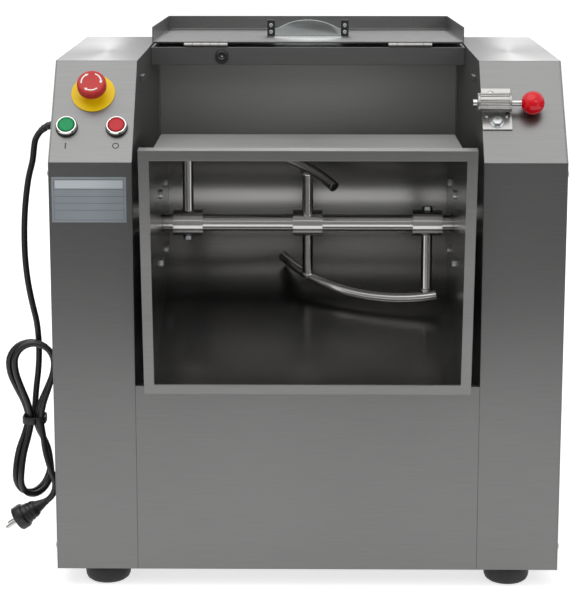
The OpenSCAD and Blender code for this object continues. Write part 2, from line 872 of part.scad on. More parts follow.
// Roller chain with inner and outer plates in turn. The rollers that the teeth
// would turn against are left out, because the chain itself stands still here.
module drive_chain() {
    step = chain_len / chain_links;
    color(GREY_IRON) at_axis() for (i = [0:chain_links - 1]) {
        here = chain_at(i * step)[0];
        next = chain_at((i + 1) % chain_links * step)[0];
        out = i % 2 * (link_plate_t + link_gap);
        if (!in_mesh(i * step)) translate([0, here.x, here.y])
            rod_x(roller_d, -sprocket_x - link_inner_w / 2, link_inner_w / 2 - sprocket_x, 16);
        for (side = [-1, 1])
            translate([side * (link_inner_w / 2 + out) - sprocket_x, here.x, here.y])
                link_plate(next - here, side);
    }
}

module link_plate(way, side) {
    rotate([atan2(way.y, way.x), 0, 0]) along_x(min(0, side * link_plate_t), max(0, side * link_plate_t)) {
        waist_h = link_plate_h * link_waist_share;
        translate([0, -waist_h / 2]) square([norm(way), waist_h]);
        circle(d = link_plate_h * link_end_share, $fn = 16);
        translate([norm(way), 0]) circle(d = link_plate_h * link_end_share, $fn = 16);
    }
}

module countershaft() {
    color(BRIGHT) at_counter() rod_x(counter_d, -counter_end, -half_gap - sheet_t - cut);
}

// Two square flange bearings, the outer one on a bracket from the inner wall
module countershaft_bearings() {
    color(GREY_IRON) at_counter() difference() {
        union() {
            for (x = [half_gap + sheet_t, bracket_x])
                translate([-x - bearing_block_t, -bearing_block / 2, -bearing_block / 2])
                    cube([bearing_block_t, bearing_block, bearing_block]);
            translate([-bracket_x - bearing_block_t, pulley_clear, -bearing_block / 2])
                cube([bracket_x + bearing_block_t - half_gap - sheet_t, bracket_t, bearing_block]);
            translate([-bracket_x - bearing_block_t, 0, -bearing_block / 2])
                cube([bracket_t, pulley_clear + bracket_t, bearing_block]);
        }
        rod_x(counter_d + 2 * running_fit, -half_w, -half_gap, fine);
    }
}

// Belt pulley with a rim groove for the belt
module pulley(r, bore) {
    difference() {
        rod_x(2 * r + belt_t, -pulley_w / 2, pulley_w / 2, fine);
        ring_x(2 * r + 2 * belt_t, 2 * r, -belt_w / 2 - seat_gap, belt_w / 2 + seat_gap);
        rod_x(bore, -pulley_w, pulley_w);
    }
}

module countershaft_pulley() {
    color(GREY_IRON) at_counter() translate([-pulley_x, 0, 0]) pulley(big_pulley_r, counter_d);
}

module motor_pulley() {
    color(GREY_IRON) translate([-pulley_x, motor_y, motor_z]) pulley(motor_pulley_r, motor_shaft_d);
}

// Closed belt outline round both pulleys, raised by t
module belt_outline(t) {
    hull() {
        circle(r = big_pulley_r + t, $fn = fine);
        translate(belt_span) circle(r = motor_pulley_r + t, $fn = fine);
    }
}

module drive_belt() {
    color(BLACK) at_counter() along_x(-pulley_x - belt_w / 2, belt_w / 2 - pulley_x) difference() {
        belt_outline(seat_gap + belt_t);
        belt_outline(seat_gap);
    }
}

module motor() {
    box_w_share = 0.55;
    box_h_share = 0.27;
    box_w = motor_d * box_w_share;
    box_h = motor_d * box_h_share;
    color("#3f5b73") translate([motor_x, motor_y, motor_z]) difference() {
        union() {
            rod_x(motor_d, 0, motor_l, fine);
            translate([0, -motor_foot_w / 2, column_z - motor_z])
                cube([motor_l, motor_foot_w, motor_foot_h * 2]);
            translate([motor_l / 2 - box_w / 2, -box_w / 2, motor_d / 2 - motor_foot_h])
                cube([box_w, box_w, box_h]);
        }
        rod_x(motor_shaft_d + 2 * running_fit, -cut, motor_l - motor_foot_h, fine);
    }
}

module motor_shaft() {
    color(BRIGHT) translate([0, motor_y, motor_z])
        rod_x(motor_shaft_d, -pulley_x - pulley_w, motor_x + motor_l - motor_foot_h - cut, fine);
}

module electrical_box() {
    color("#8f9296") translate([-half_gap - sheet_t - box_size.x, 2 * fold_w, column_z + 3 * fold_w])
        cube(box_size);
}

// Lid, drawn open with its inside up

module lid_pan() {
    color(STEEL) on_lid() difference() {
        translate([-lid_half, lid_start, lid_floor])
            cube([2 * lid_half, lid_len - lid_start, lid_rim_h + sheet_t]);
        translate([-lid_half + sheet_t, lid_start - cut, lid_floor + sheet_t])
            cube([2 * lid_half - 2 * sheet_t, lid_len - lid_start - sheet_t + cut, lid_rim_h + cut]);
        translate([-window_w / 2, window_from, lid_floor - cut])
            cube([window_w, window_l, sheet_t + 2 * cut]);
    }
}

// Every second knuckle of a hinge, and its leaf, the leaf below the pin
module hinge_leaf(first) {
    step = hinge_len / knuckles;
    for (i = [first:2:knuckles - 1])
        difference() {
            union() {
                rod_x(2 * knuckle_r, i * step + seat_gap, (i + 1) * step - seat_gap, 32);
                translate([i * step + seat_gap, 0, -knuckle_r])
                    cube([step - 2 * seat_gap, knuckle_r + cut, leaf_t]);
            }
            rod_x(pin_d + 2 * running_fit, i * step - cut, (i + 1) * step + cut);
        }
    translate([seat_gap, knuckle_r + cut, -knuckle_r]) cube([hinge_len - 2 * seat_gap, leaf_w, leaf_t]);
}

module at_hinges() {
    for (x = [-hinge_x, hinge_x]) translate([x - hinge_len / 2, 0, 0]) children();
}

// The beam's halves of the hinges hold the pins
module hinge_beam_leaves() {
    color(BRIGHT) translate([0, hinge_y, hinge_z]) at_hinges() {
        hinge_leaf(0);
        rod_x(pin_d, 0, hinge_len);
    }
}

module hinge_lid_leaves() {
    color(BRIGHT) on_lid() at_hinges() mirror([0, 0, 1]) hinge_leaf(1);
}

// Clear arched guard round the far side of the pouring window
module window_guard() {
    arch_share = 0.5;
    color([0.85, 0.9, 0.92, 0.45]) on_lid()
        translate([0, window_from + window_l + guard_t, lid_floor + sheet_t]) rotate([90, 0, 0])
            linear_extrude(guard_t) {
                translate([-window_w / 2, 0]) square([window_w, guard_h * arch_share]);
                intersection() {
                    translate([0, guard_h - window_w]) circle(r = window_w, $fn = fine);
                    translate([-window_w / 4, 0]) square([window_w / 2, guard_h]);
                }
            }
}

module guard_posts() {
    color(BLACK) on_lid() both_sides()
        translate([window_w / 2 + seat_gap, window_from + window_l - post_w / 2, lid_floor + sheet_t])
            cube([post_w, post_w, guard_h]);
}

// Bowl lock

module lock_plate() {
    color(BRIGHT) on_slope(lock_inner_x, lock_t_share) difference() {
        union() {
            translate([half_gap - lock_inner_x + seat_gap, -lock_plate_l / 2, 0])
                cube([lock_plate_w, lock_plate_l, lock_plate_t]);
            translate([half_gap - lock_inner_x + seat_gap, -barrel_d * lock_block_share / 2, 0])
                cube([lock_plate_w - 4 * lock_plate_t, barrel_d * lock_block_share, lock_lift]);
            translate([0, 0, lock_lift]) rod_x(barrel_d, 0, barrel_l, fine);
        }
        translate([0, 0, lock_lift]) {
            rod_x(plunger_d + 2 * running_fit, -cut, barrel_l - barrel_end_t, fine);
            rod_x(lock_rod_d + 2 * running_fit, 0, barrel_l + cut);
        }
        for (p = lock_bolt_places)
            translate([p.x, p.y, -cut]) cylinder(d = bolt_m6, h = lock_plate_t + 2 * cut);
    }
}

lock_bolt_places = [
    [half_gap - lock_inner_x + lock_plate_w / 2, -lock_plate_l / 2 + 2 * bolt_m6],
    [half_gap - lock_inner_x + lock_plate_w / 3, lock_plate_l / 2 - upper_bolt_inset]
];

module lock_plate_bolts() {
    color(BRIGHT) on_slope(lock_inner_x, lock_t_share) for (p = lock_bolt_places)
        translate([p.x, p.y, lock_plate_t]) hex_bolt(bolt_m6, lock_plate_t);
}

// Plunger drawn back so that its tip just clears the bowl's rim
lock_tip = rim_half + cut;
ball_x = lock_inner_x + barrel_l + plunger_travel + ball_d / 2 + cut;

module lock_plunger() {
    nose_l = plunger_travel + cut;
    color(BRIGHT) on_slope(0, lock_t_share) translate([0, 0, lock_lift]) {
        rod_x(plunger_nose_d, lock_tip, lock_tip + nose_l);
        rod_x(plunger_d, lock_tip + nose_l, lock_tip + nose_l + plunger_head_l, fine);
        rod_x(lock_rod_d, lock_tip + nose_l + plunger_head_l, ball_x - ball_d / 4);
    }
}

module lock_ball() {
    color("#e5001f") on_slope(0, lock_t_share) translate([ball_x, 0, lock_lift]) difference() {
        sphere(d = ball_d, $fn = fine);
        rod_x(lock_rod_d, -ball_d, -ball_d / 4);
    }
}

// Controls

module stop_disc() {
    color("#f0cf10") on_slope(stop_x, stop_t_share) difference() {
        cylinder(d = disc_d, h = sheet_t, $fn = fine);
        translate([0, 0, -cut]) cylinder(d = control_hole_d, h = sheet_t + 2 * cut);
    }
}

module stop_housing() {
    color("#f0cf10") on_slope(stop_x, stop_t_share) difference() {
        union() {
            translate([0, 0, sheet_t]) cylinder(d = stop_neck_d, h = stop_neck_h);
            translate([0, 0, -fold_w]) cylinder(d = control_hole_d - seat_gap, h = fold_w + sheet_t);
        }
        translate([0, 0, -fold_w / 2]) cylinder(d = stop_neck_d / 2 + seat_gap, h = 2 * fold_w);
    }
}

module stop_mushroom() {
    dome_share = 0.45;
    top_share = 0.8;
    color("#c0413f") on_slope(stop_x, stop_t_share) {
        translate([0, 0, sheet_t + stop_neck_h + stop_travel + cut]) {
            cylinder(d = mushroom_d, h = mushroom_h * (1 - dome_share), $fn = fine);
            translate([0, 0, mushroom_h * (1 - dome_share)])
                cylinder(
                    d1 = mushroom_d, d2 = mushroom_d * top_share, h = mushroom_h * dome_share, $fn = fine
                );
        }
        translate([0, 0, stop_travel + cut - fold_w / 2])
            cylinder(d = stop_neck_d / 2, h = sheet_t + stop_neck_h + fold_w / 2);
    }
}

module button_bezels() {
    color(BRIGHT) for (x = [start_x, stop_button_x]) on_slope(x, button_t_share) difference() {
        union() {
            cylinder(d = bezel_d, h = bezel_h, $fn = fine);
            translate([0, 0, -fold_w]) cylinder(d = control_hole_d - seat_gap, h = fold_w);
        }
        translate([0, 0, cap_bottom - button_travel - seat_gap])
            cylinder(d = cap_d + seat_gap, h = 2 * bezel_h + button_travel);
        translate([0, 0, -2 * fold_w]) cylinder(d = cap_d / 2 + seat_gap, h = 3 * fold_w);
    }
}

module push_cap(x) {
    on_slope(x, button_t_share) {
        translate([0, 0, cap_bottom]) cylinder(d = cap_d, h = cap_h, $fn = fine);
        translate([0, 0, button_travel - fold_w + cut]) cylinder(d = cap_d / 2, h = fold_w);
    }
}

module start_button() {
    color("#0a9a5f") push_cap(start_x);
}

module stop_button() {
    color("#c9393f") push_cap(stop_button_x);
}

module contact_body() {
    translate([-contact_block.x / 2, -contact_block.y / 2, -fold_w - contact_block.z]) cube(contact_block);
}

module contact_blocks() {
    color(BLACK) {
        for (x = [start_x, stop_button_x]) on_slope(x, button_t_share) contact_body();
        on_slope(stop_x, stop_t_share) contact_body();
    }
}

// Mains cord

function unit(v) = v / norm(v);

// Heading of a route at each of its points
function route_way(p, i) =
    unit(p[min(i + 1, len(p) - 1)] - p[max(i - 1, 0)]);

// Smooth line through hand-picked points
function spline_part(p, i, t) = let (
        a = p[max(i - 1, 0)],
        b = p[i],
        c = p[i + 1],
        d = p[min(i + 2, len(p) - 1)]
    ) (2 * b + (c - a) * t + (2 * a - 5 * b + 4 * c - d) * t * t + (3 * b - a - 3 * c + d) * t * t * t) / 2;
function spline(p, n) = [
    for (i = [0:len(p) - 2], k = [0:n - 1]) spline_part(p, i, k / n),
    p[len(p) - 1]
];

// Ring of points round a route point, square to its heading
function route_ring(p, i, r) =
    let (w = route_way(p, i), side = unit(cross(w, [0, 1, 0])), up = cross(side, w))
    [for (k = [0:cord_sides - 1])
        p[i] + r * cos(360 / cord_sides * k) * side + r * sin(360 / cord_sides * k) * up];

// A round tube along the points from..upto of a route, one diameter to the other
module tube_along(route, from, upto, d1, d2) {
    n = upto - from + 1;
    points = [for (i = [0:n - 1]) each route_ring(route, from + i, (d1 + (d2 - d1) * i / (n - 1)) / 2)];
    sides = [for (i = [0:n - 2], k = [0:cord_sides - 1])
        let (a = i * cord_sides + k, b = i * cord_sides + (k + 1) % cord_sides)
        each [[a, b, b + cord_sides], [a, b + cord_sides, a + cord_sides]]];
    first = [for (k = [1:cord_sides - 2]) [0, k + 1, k]];
    last_at = (n - 1) * cord_sides;
    last = [for (k = [1:cord_sides - 2]) [last_at, last_at + k, last_at + k + 1]];
    polyhedron(points, concat(sides, first, last));
}

function eased(t) = let (u = min(1, max(0, t))) u * u * (3 - 2 * u);

// Point on the hank a degrees round from its top: round ends, drawn in where
// it is tied, the lower end turned about the upright
function hank_point(a) = let (
        r = hank_r - hank_nest * (a - 360) / 360,
        straight = hank_h / 2 - r,
        q = (a - 90) % 180,
        t = q < 90 ? q / 90 : (180 - q) / 90,
        side_share = 0.6,
        turn = 90 * (t - side_share) / (1 - side_share),
        u = t < side_share ? straight * t / side_share : straight + r * sin(turn),
        w = t < side_share ? hank_waist + (r - hank_waist) * eased(t / side_share) : r * cos(turn),
        z = cos(a) > 0 ? u : -u,
        low_start_share = 0.15,
        low_rate_share = 2.6,
        lean = hank_lean * eased(low_start_share - low_rate_share * z / hank_h),
        side = sin(a) < 0 ? -w : w
    ) [
        hank_x + hank_shift * (a - 90) / 360 + side * cos(lean),
        hank_y - hank_pitch * (a - 90) / 360 + side * sin(lean),
        hank_top - hank_h / 2 + z
    ];

hank_low = hank_top - hank_h;
function hung(p) = [-half_w - p.x, gland_y + p.y, hank_low + p.z];
lead_fall = gland_z - hank_top;
cord_lead = [for (p = cord_places) [-half_w - p.x, gland_y + p.y, gland_z - p.z * lead_fall]];
cord_route = spline(concat(
    cord_lead,
    [for (p = drop_places) hung(p)],
    [for (i = [0:hank_steps * hank_turns]) hank_point(90 + 360 / hank_steps * i)],
    [for (p = tail_places) hung(p)]
), route_steps);
relief_end = route_steps * (relief_points - 1);
lead_end = route_steps * (len(cord_places) - 1);
cord_end = len(cord_route) - 1;

// Least gap of the hank to itself, from each of its points to each stretch
// that is more than a bend away along the cord
function stretch_gap(p, a, b) = let (t = (p - a) * (b - a) / ((b - a) * (b - a)))
    norm(p - a - min(1, max(0, t)) * (b - a));
bend_points = 10;
hank_gap = min([for (i = [lead_end:2:cord_end], j = [lead_end:cord_end - 1])
    if (abs(i - j) > bend_points) stretch_gap(cord_route[i], cord_route[j], cord_route[j + 1])]) - cord_d;
echo(hank_least_gap_to_itself_mm = hank_gap);

// Cord's length, added up along its route
function length_to(i) = i == 0 ? 0 : norm(cord_route[i] - cord_route[i - 1]) + length_to(i - 1);
echo(cord_length_mm = length_to(cord_end) - length_to(relief_end));

// Nut against the side cover and the tapered sleeve that the cord comes out of
module cord_gland() {
    color(BLACK) {
        difference() {
            translate([-half_w, gland_y, gland_z]) rotate([0, -90, 0])
                cylinder(d = gland_d, h = gland_l, $fn = 6);
            translate([-half_w + cut, gland_y, gland_z]) rotate([0, -90, 0])
                cylinder(d = relief_d + seat_gap, h = gland_l + 2 * cut);
        }
        tube_along(cord_route, 0, relief_end, relief_d, cord_d);
    }
}

module mains_cord() {
    color(BLACK) tube_along(cord_route, relief_end, lead_end, cord_d, cord_d);
}

module cord_hank() {
    color(BLACK) tube_along(cord_route, lead_end, cord_end, cord_d, cord_d);
}

module hank_tie() {
    waist = [for (i = [0:2 * hank_turns]) hank_point(90 + 180 * i)];
    low = [min([for (p = waist) p.x]), min([for (p = waist) p.y])];
    high = [max([for (p = waist) p.x]), max([for (p = waist) p.y])];
    inner = high - low + (cord_d + 2 * tie_gap) * [1, 1];
    middle = (high + low) / 2;
    color(BLACK) translate([middle.x, middle.y, hank_top - hank_h / 2]) difference() {
        cube([inner.x + 2 * tie_t, inner.y + 2 * tie_t, tie_h], center = true);
        cube([inner.x, inner.y, tie_h + 2 * cut], center = true);
    }
}

// Earthed plug with two round pins, its neck where the cord ends
module mains_plug() {
    neck_l = 16;
    grip_l = 20;
    face_l = 14;
    plug_d = 36;
    grip_share = 0.62;
    pin_l = 19;
    pin_thick = 4.8;
    pin_pitch = 19;
    color(BLACK) translate(cord_route[cord_end]) rotate([0, -90 - plug_lean, 0]) {
        cylinder(d1 = cord_d, d2 = cord_d * 2, h = neck_l);
        translate([0, 0, neck_l]) cylinder(d1 = plug_d * grip_share, d2 = plug_d, h = grip_l, $fn = fine);
        translate([0, 0, neck_l + grip_l]) cylinder(d = plug_d, h = face_l, $fn = fine);
        for (s = [-1, 1]) translate([0, s * pin_pitch / 2, neck_l + grip_l + face_l])
            cylinder(d = pin_thick, h = pin_l);
    }
}

module placed() {
    translate([0, -y_mid, 0]) children();
}

placed() base_plate();
placed() feet();
placed() left_column();
placed() right_column();
placed() left_side_cover();
placed() right_side_cover();
placed() side_cover_screws();
placed() front_panel();
placed() back_panel();
placed() deck();
placed() top_beam();
placed() lid_rests();
placed() trunnion_housings();
placed() trunnion_bushes();
placed() housing_bolts();
placed() bowl_shell();
placed() bowl_rim();
placed() bowl_hubs();
placed() hub_bearings();
placed() hub_seals();
placed() hub_bolts();
placed() agitator_shaft();
placed() shaft_journals();
placed() shaft_collars();
placed() agitator_blade_a();
placed() agitator_blade_b();
placed() collar_bolts();
placed() agitator_sprocket();
placed() drive_chain();
placed() countershaft();
placed() countershaft_sprocket();
placed() countershaft_pulley();
placed() countershaft_bearings();
placed() drive_belt();
placed() motor();
placed() motor_shaft();
placed() motor_pulley();
placed() electrical_box();
placed() lid_pan();
placed() hinge_beam_leaves();
placed() hinge_lid_leaves();
placed() lid_sensor();
placed() window_guard();
placed() guard_posts();
placed() lock_plate();
placed() lock_plate_bolts();
placed() lock_plunger();
placed() lock_ball();
placed() stop_disc();
placed() stop_housing();
placed() stop_mushroom();
placed() button_bezels();
placed() start_button();
placed() stop_button();
placed() contact_blocks();
placed() cord_gland();
placed() mains_cord();
placed() cord_hank();
placed() mains_plug();
placed() hank_tie();
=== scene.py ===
"""Looks of a tilting dough mixer: stainless housing, open bowl with agitator, lid folded back."""
import math

import bmesh
import bpy
from mathutils import Matrix, Vector


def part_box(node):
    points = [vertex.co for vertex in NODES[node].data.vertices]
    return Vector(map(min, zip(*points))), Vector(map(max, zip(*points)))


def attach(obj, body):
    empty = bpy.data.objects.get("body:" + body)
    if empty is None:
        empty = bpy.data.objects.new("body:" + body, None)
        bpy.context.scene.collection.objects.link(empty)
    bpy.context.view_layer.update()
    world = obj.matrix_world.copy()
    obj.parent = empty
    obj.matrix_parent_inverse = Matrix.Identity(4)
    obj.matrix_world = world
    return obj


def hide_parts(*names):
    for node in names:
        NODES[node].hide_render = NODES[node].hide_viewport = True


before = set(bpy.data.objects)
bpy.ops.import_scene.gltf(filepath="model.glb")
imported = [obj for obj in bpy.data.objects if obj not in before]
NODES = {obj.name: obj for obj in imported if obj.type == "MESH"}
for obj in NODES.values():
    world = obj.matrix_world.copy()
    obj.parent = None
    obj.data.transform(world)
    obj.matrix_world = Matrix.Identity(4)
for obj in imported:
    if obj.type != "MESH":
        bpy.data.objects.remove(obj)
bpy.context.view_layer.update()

MM = 0.001
PER_METRE = 1000

# Sizes that the source gives, in millimetres: y is back from the column fronts, z up from the floor
FRONT_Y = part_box("left_side_cover")[0].y / MM
SIDE_X = 350
BEND_Z = 603
SLOPE_DEG = 50.417
SLOPE_LEN = 164.785
AXIS_Y, AXIS_Z = 168, 490


# Places

def at(x, y, z):
    """A point of the machine in metres, from millimetres measured from the column fronts."""
    return Vector((x, y + FRONT_Y, z)) * MM


def turned(degrees, axis):
    """A turn about an axis."""
    return Matrix.Rotation(math.radians(degrees), 4, axis)


def shifted(x, y, z=0):
    """A move, in the units of what it moves."""
    return Matrix.Translation((x, y, z))


def placed(x, y, z, turn=Matrix.Identity(4)):
    """A frame in millimetres at a place of the machine, turned where a turn is given."""
    return Matrix.Translation(at(x, y, z)) @ turn @ Matrix.Scale(MM, 4)


def on_slope(x, share):
    """A frame in millimetres on a sloping panel: its z stands off the panel, its y runs up it."""
    return (Matrix.Translation(at(x, 0, BEND_Z)) @ turned(SLOPE_DEG, "X")
            @ Matrix.Translation(Vector((0, SLOPE_LEN * share, 0)) * MM) @ Matrix.Scale(MM, 4))


FACING = turned(90, "X")  # stands a flat part up, with its z towards the front
UPSIDE_DOWN = turned(180, "X")


# Camera, solved from the edges of the columns

CAMERA_AT = (-1, -2488, 987)
CAMERA_YAW = -0.56
CAMERA_PITCH = 10.77
CAMERA_LENS = 112.31
CAMERA_SHIFT = -0.12

camera_data = bpy.data.cameras.new("camera")
camera_data.lens = CAMERA_LENS
camera_data.shift_y = CAMERA_SHIFT
camera = bpy.data.objects.new("camera", camera_data)
camera.location = at(*CAMERA_AT)
camera.rotation_euler = (math.radians(90 - CAMERA_PITCH), 0, math.radians(-CAMERA_YAW))
bpy.context.scene.collection.objects.link(camera)
bpy.context.scene.camera = camera


# Materials

# Where the values of a noise mostly lie
NOISE_LOW, NOISE_HIGH = 0.3, 0.7
# Belt grinding leaves lines about 0.1 mm apart: drawn 0.6 mm apart or more, so that they show
GROUND_LINE, GROUND_LENGTH = 0.6, 60
# Turning leaves rings about 0.1 mm apart: drawn 0.6 mm apart
TURNED_LINE, TURNED_LENGTH = 0.6, 30
# Gloss of ground or rolled sheet wanders over about 250 mm
SHEET_CLOUD = 250
# Gloss of a moulding wanders over about 25 mm, that of cast acrylic over about 40 mm
MOULD_CLOUD, ACRYLIC_CLOUD = 25, 40


def linear(hex_colour):
    """Linear RGBA of an sRGB hex value."""
    parts = [int(hex_colour[i:i + 2], 16) / 255 for i in (1, 3, 5)]
    return (*[c / 12.92 if c <= 0.04045 else ((c + 0.055) / 1.055) ** 2.4 for c in parts], 1)


def add(tree, kind, links=None, **settings):
    """Adds a node, sets its properties, and links or fills its inputs."""
    made = tree.nodes.new(kind)
    for key, value in settings.items():
        setattr(made, key, value)
    for key, value in (links or {}).items():
        socket = made.inputs[key]
        if isinstance(value, bpy.types.NodeSocket):
            tree.links.new(value, socket)
        else:
            socket.default_value = value
    return made


def new_material(name, colour, metallic=0.0, roughness=0.5, **shader):
    """A material with its node tree, its shader and the shader's own constant values."""
    made = bpy.data.materials.new(name)
    made.use_nodes = True
    made.diffuse_color = linear(colour)
    tree = made.node_tree
    bsdf = tree.nodes["Principled BSDF"]
    bsdf.inputs["Base Color"].default_value = linear(colour)
    bsdf.inputs["Metallic"].default_value = metallic
    bsdf.inputs["Roughness"].default_value = roughness
    for key, value in shader.items():
        bsdf.inputs[key.replace("_", " ")].default_value = value
    return made, tree, bsdf


def grain(tree, along_mm, across_mm):
    """Fine streaks, from their size along x and across it in millimetres."""
    place = add(tree, "ShaderNodeTexCoord")
    scale = (PER_METRE / along_mm, PER_METRE / across_mm, PER_METRE / across_mm)
    scaled = add(tree, "ShaderNodeMapping", {"Vector": place.outputs["Object"], "Scale": scale})
    noise = add(tree, "ShaderNodeTexNoise", {"Vector": scaled.outputs[0], "Scale": 1.0,
                                             "Detail": 3.0, "Roughness": 0.6})
    return noise.outputs["Fac"]


def spots(tree, size_mm, detail=2.0):
    """Soft cloudy variation about as large as the given size."""
    place = add(tree, "ShaderNodeTexCoord")
    noise = add(tree, "ShaderNodeTexNoise", {"Vector": place.outputs["Object"],
                                             "Scale": PER_METRE / size_mm, "Detail": detail})
    return noise.outputs["Fac"]


def uneven_gloss(tree, bsdf, pattern, low, high):
    """Lets a pattern move the roughness between two values."""
    rough = add(tree, "ShaderNodeMapRange", {"Value": pattern, "From Min": NOISE_LOW,
                                             "From Max": NOISE_HIGH, "To Min": low, "To Max": high})
    tree.links.new(rough.outputs["Result"], bsdf.inputs["Roughness"])


def rounded(tree, bsdf, pattern, edge_mm, strength, depth_mm):
    """Softens the edges that light catches, and lays a pattern on the surface as a fine relief."""
    edge = add(tree, "ShaderNodeBevel", {"Radius": edge_mm * MM}, samples=4)
    relief = add(tree, "ShaderNodeBump", {"Height": pattern, "Normal": edge.outputs["Normal"],
                                          "Strength": strength, "Distance": depth_mm * MM})
    tree.links.new(relief.outputs["Normal"], bsdf.inputs["Normal"])


def sheet_steel(name, dark, light, rough, strength, across_mm=GROUND_LINE, anisotropic=0.5):
    """Stainless sheet, ground or rolled along the machine's width."""
    made, tree, bsdf = new_material(name, light, metallic=1.0, roughness=rough,
                                    Anisotropic=anisotropic)
    streak = grain(tree, along_mm=GROUND_LENGTH, across_mm=across_mm)
    share = add(tree, "ShaderNodeMapRange", {"Value": streak, "From Min": NOISE_LOW,
                                             "From Max": NOISE_HIGH})
    mixed = add(tree, "ShaderNodeMix", {0: share.outputs["Result"], 6: linear(dark),
                                        7: linear(light)}, data_type="RGBA")
    tree.links.new(mixed.outputs[2], bsdf.inputs["Base Color"])
    clouds = spots(tree, SHEET_CLOUD, detail=1.0)
    uneven_gloss(tree, bsdf, clouds, low=rough * 0.93, high=rough * 1.08)
    rounded(tree, bsdf, streak, edge_mm=1.5, strength=strength, depth_mm=0.03)
    return made


# Belt-ground stainless sheet: grey, its streaks across the machine smear reflections upwards
BRUSHED = sheet_steel("stainless_sheet_brushed", "#737373", "#7b7b7a", rough=0.36, strength=0.15)
# Rolled stainless sheet of the bowl, polished inside: dark, deep reflections
POLISHED = sheet_steel("stainless_bowl_polished", "#8b8a89", "#949392", rough=0.24, strength=0.12,
                       across_mm=1.2, anisotropic=0.2)
# Outside of the bowl, left with the mill's dull finish: pale and even
MILL = sheet_steel("stainless_bowl_mill_finish", "#999997", "#a2a2a0", rough=0.5, strength=0.12,
                   anisotropic=0.1)
# Inner face of the back panel: rougher than the housing, and paler, a painted light that lifts the
# shade inside the housing; even
INNER_FACE_PAINTED_LIGHT = sheet_steel("stainless_sheet_painted_paler", "#9d9d9c", "#a6a6a5", rough=0.42, strength=0.1)
# Stainless rim, finer ground than the housing: a little glossier
RIM = sheet_steel("stainless_rim_ground", "#747473", "#7d7d7c", rough=0.33, strength=0.15)


def machined(name, colour, rough, edge_mm=0.5):
    """Turned or drawn metal with faint tool marks."""
    made, tree, bsdf = new_material(name, colour, metallic=1.0, roughness=rough)
    mark = grain(tree, along_mm=TURNED_LINE, across_mm=TURNED_LENGTH)
    uneven_gloss(tree, bsdf, mark, low=rough * 0.85, high=rough * 1.2)
    rounded(tree, bsdf, mark, edge_mm=edge_mm, strength=0.15, depth_mm=0.01)
    return made


# Turned and polished stainless of shafts, collars, arms and hubs: bright, close to a mirror
BRIGHT = machined("stainless_turned_bright", "#bdbcba", rough=0.14)
# Tumbled stainless of the lock and the hinges: pale satin that shows its edges
SATIN = machined("stainless_tumbled_satin", "#a09f9d", rough=0.3, edge_mm=0.6)
# Zinc-plated steel of the bolts: pale, slightly blue, satin
ZINC = machined("steel_zinc_plated", "#b9bcbd", rough=0.3, edge_mm=0.4)
# Machined steel of sprockets, chain and pulleys under an oil film: dark, satin
DRIVE = machined("steel_drive_oiled", "#6d6c69", rough=0.35)
# Sintered bronze of the bushes: warm, matt
BRONZE = machined("bronze_bush_turned", "#b08a55", rough=0.38)
# Chromed brass of the button rings: the brightest metal
CHROME = machined("brass_bezel_chromed", "#d6d6d3", rough=0.1, edge_mm=0.4)


def moulded(name, colour, rough, grit_mm=0.8, relief=0.08, **shader):
    """Moulding, casting, coating or print, its fine texture drawn coarser so that it shows."""
    made, tree, bsdf = new_material(name, colour, roughness=rough, **shader)
    grit = spots(tree, grit_mm, detail=3.0)
    uneven_gloss(tree, bsdf, spots(tree, MOULD_CLOUD), low=rough * 0.88, high=rough * 1.1)
    rounded(tree, bsdf, grit, edge_mm=0.6, strength=relief, depth_mm=0.04)
    return made


# Cast iron under grey primer: matt, with the grain of the sand
CAST = moulded("cast_iron_primed", "#63676a", rough=0.55, grit_mm=2.0, relief=0.4)
# Moulded rubber of feet and seals: soft black, matt
RUBBER = moulded("rubber_moulded_black", "#1b1c1e", rough=0.6, grit_mm=1.2, relief=0.2)
# Extruded PVC of the mains lead and moulded PVC of its plug: black with a soft sheen
PVC = moulded("pvc_jacket_black", "#17181a", rough=0.38, grit_mm=1.5, relief=0.05)
# Moulded ABS of posts, sensor, gland, tie and button bases: black, satin
BLACK_PLASTIC = moulded("abs_moulded_black", "#1a1b1d", rough=0.42)
# Enamelled aluminium of the motor's shell: blue-grey, semi-gloss
MOTOR = moulded("aluminium_enamelled", "#46586a", rough=0.4, grit_mm=1.5, relief=0.15)
# Powder-coated steel of the electrical box: light grey, fine orange peel
BOX = moulded("steel_powder_coated", "#8d9195", rough=0.5, grit_mm=1.0, relief=0.25)
# Turned and polished phenolic of the ball knob: deep red with a sharp highlight
BALL = moulded("phenolic_ball_polished", "#dc0019", rough=0.14, grit_mm=2.0, relief=0.01,
               Specular_IOR_Level=0.4)
# Moulded ABS of the emergency stop: dusty red, satin
STOP_RED = moulded("abs_mushroom_red", "#bf3431", rough=0.38, Specular_IOR_Level=0.3)
# Printed polycarbonate of the stop's disc and housing: warm yellow, satin
YELLOW = moulded("polycarbonate_disc_yellow", "#f0ca08", rough=0.4, Specular_IOR_Level=0.3)
# Moulded acrylic of the buttons' caps: full colour, glossy
GREEN = moulded("acrylic_cap_green", "#009355", rough=0.25, grit_mm=1.0, relief=0.02,
                Specular_IOR_Level=0.25)
BUTTON_RED = moulded("acrylic_cap_red", "#c22830", rough=0.25, grit_mm=1.0, relief=0.02,
                     Specular_IOR_Level=0.25)
# Screened ink, flat and matt: white arrows on the mushroom, near-black marks under the buttons
WHITE_INK = moulded("ink_screened_white", "#f2f0ec", rough=0.5)
BLACK_INK = moulded("ink_screened_black", "#2b2c2d", rough=0.5)
# The same ink on the bare plate: dark grey rules, a pale header band
GREY_INK = moulded("ink_screened_grey", "#5d6266", rough=0.5)
PALE_INK = moulded("ink_screened_pale", "#c4cacf", rough=0.45)
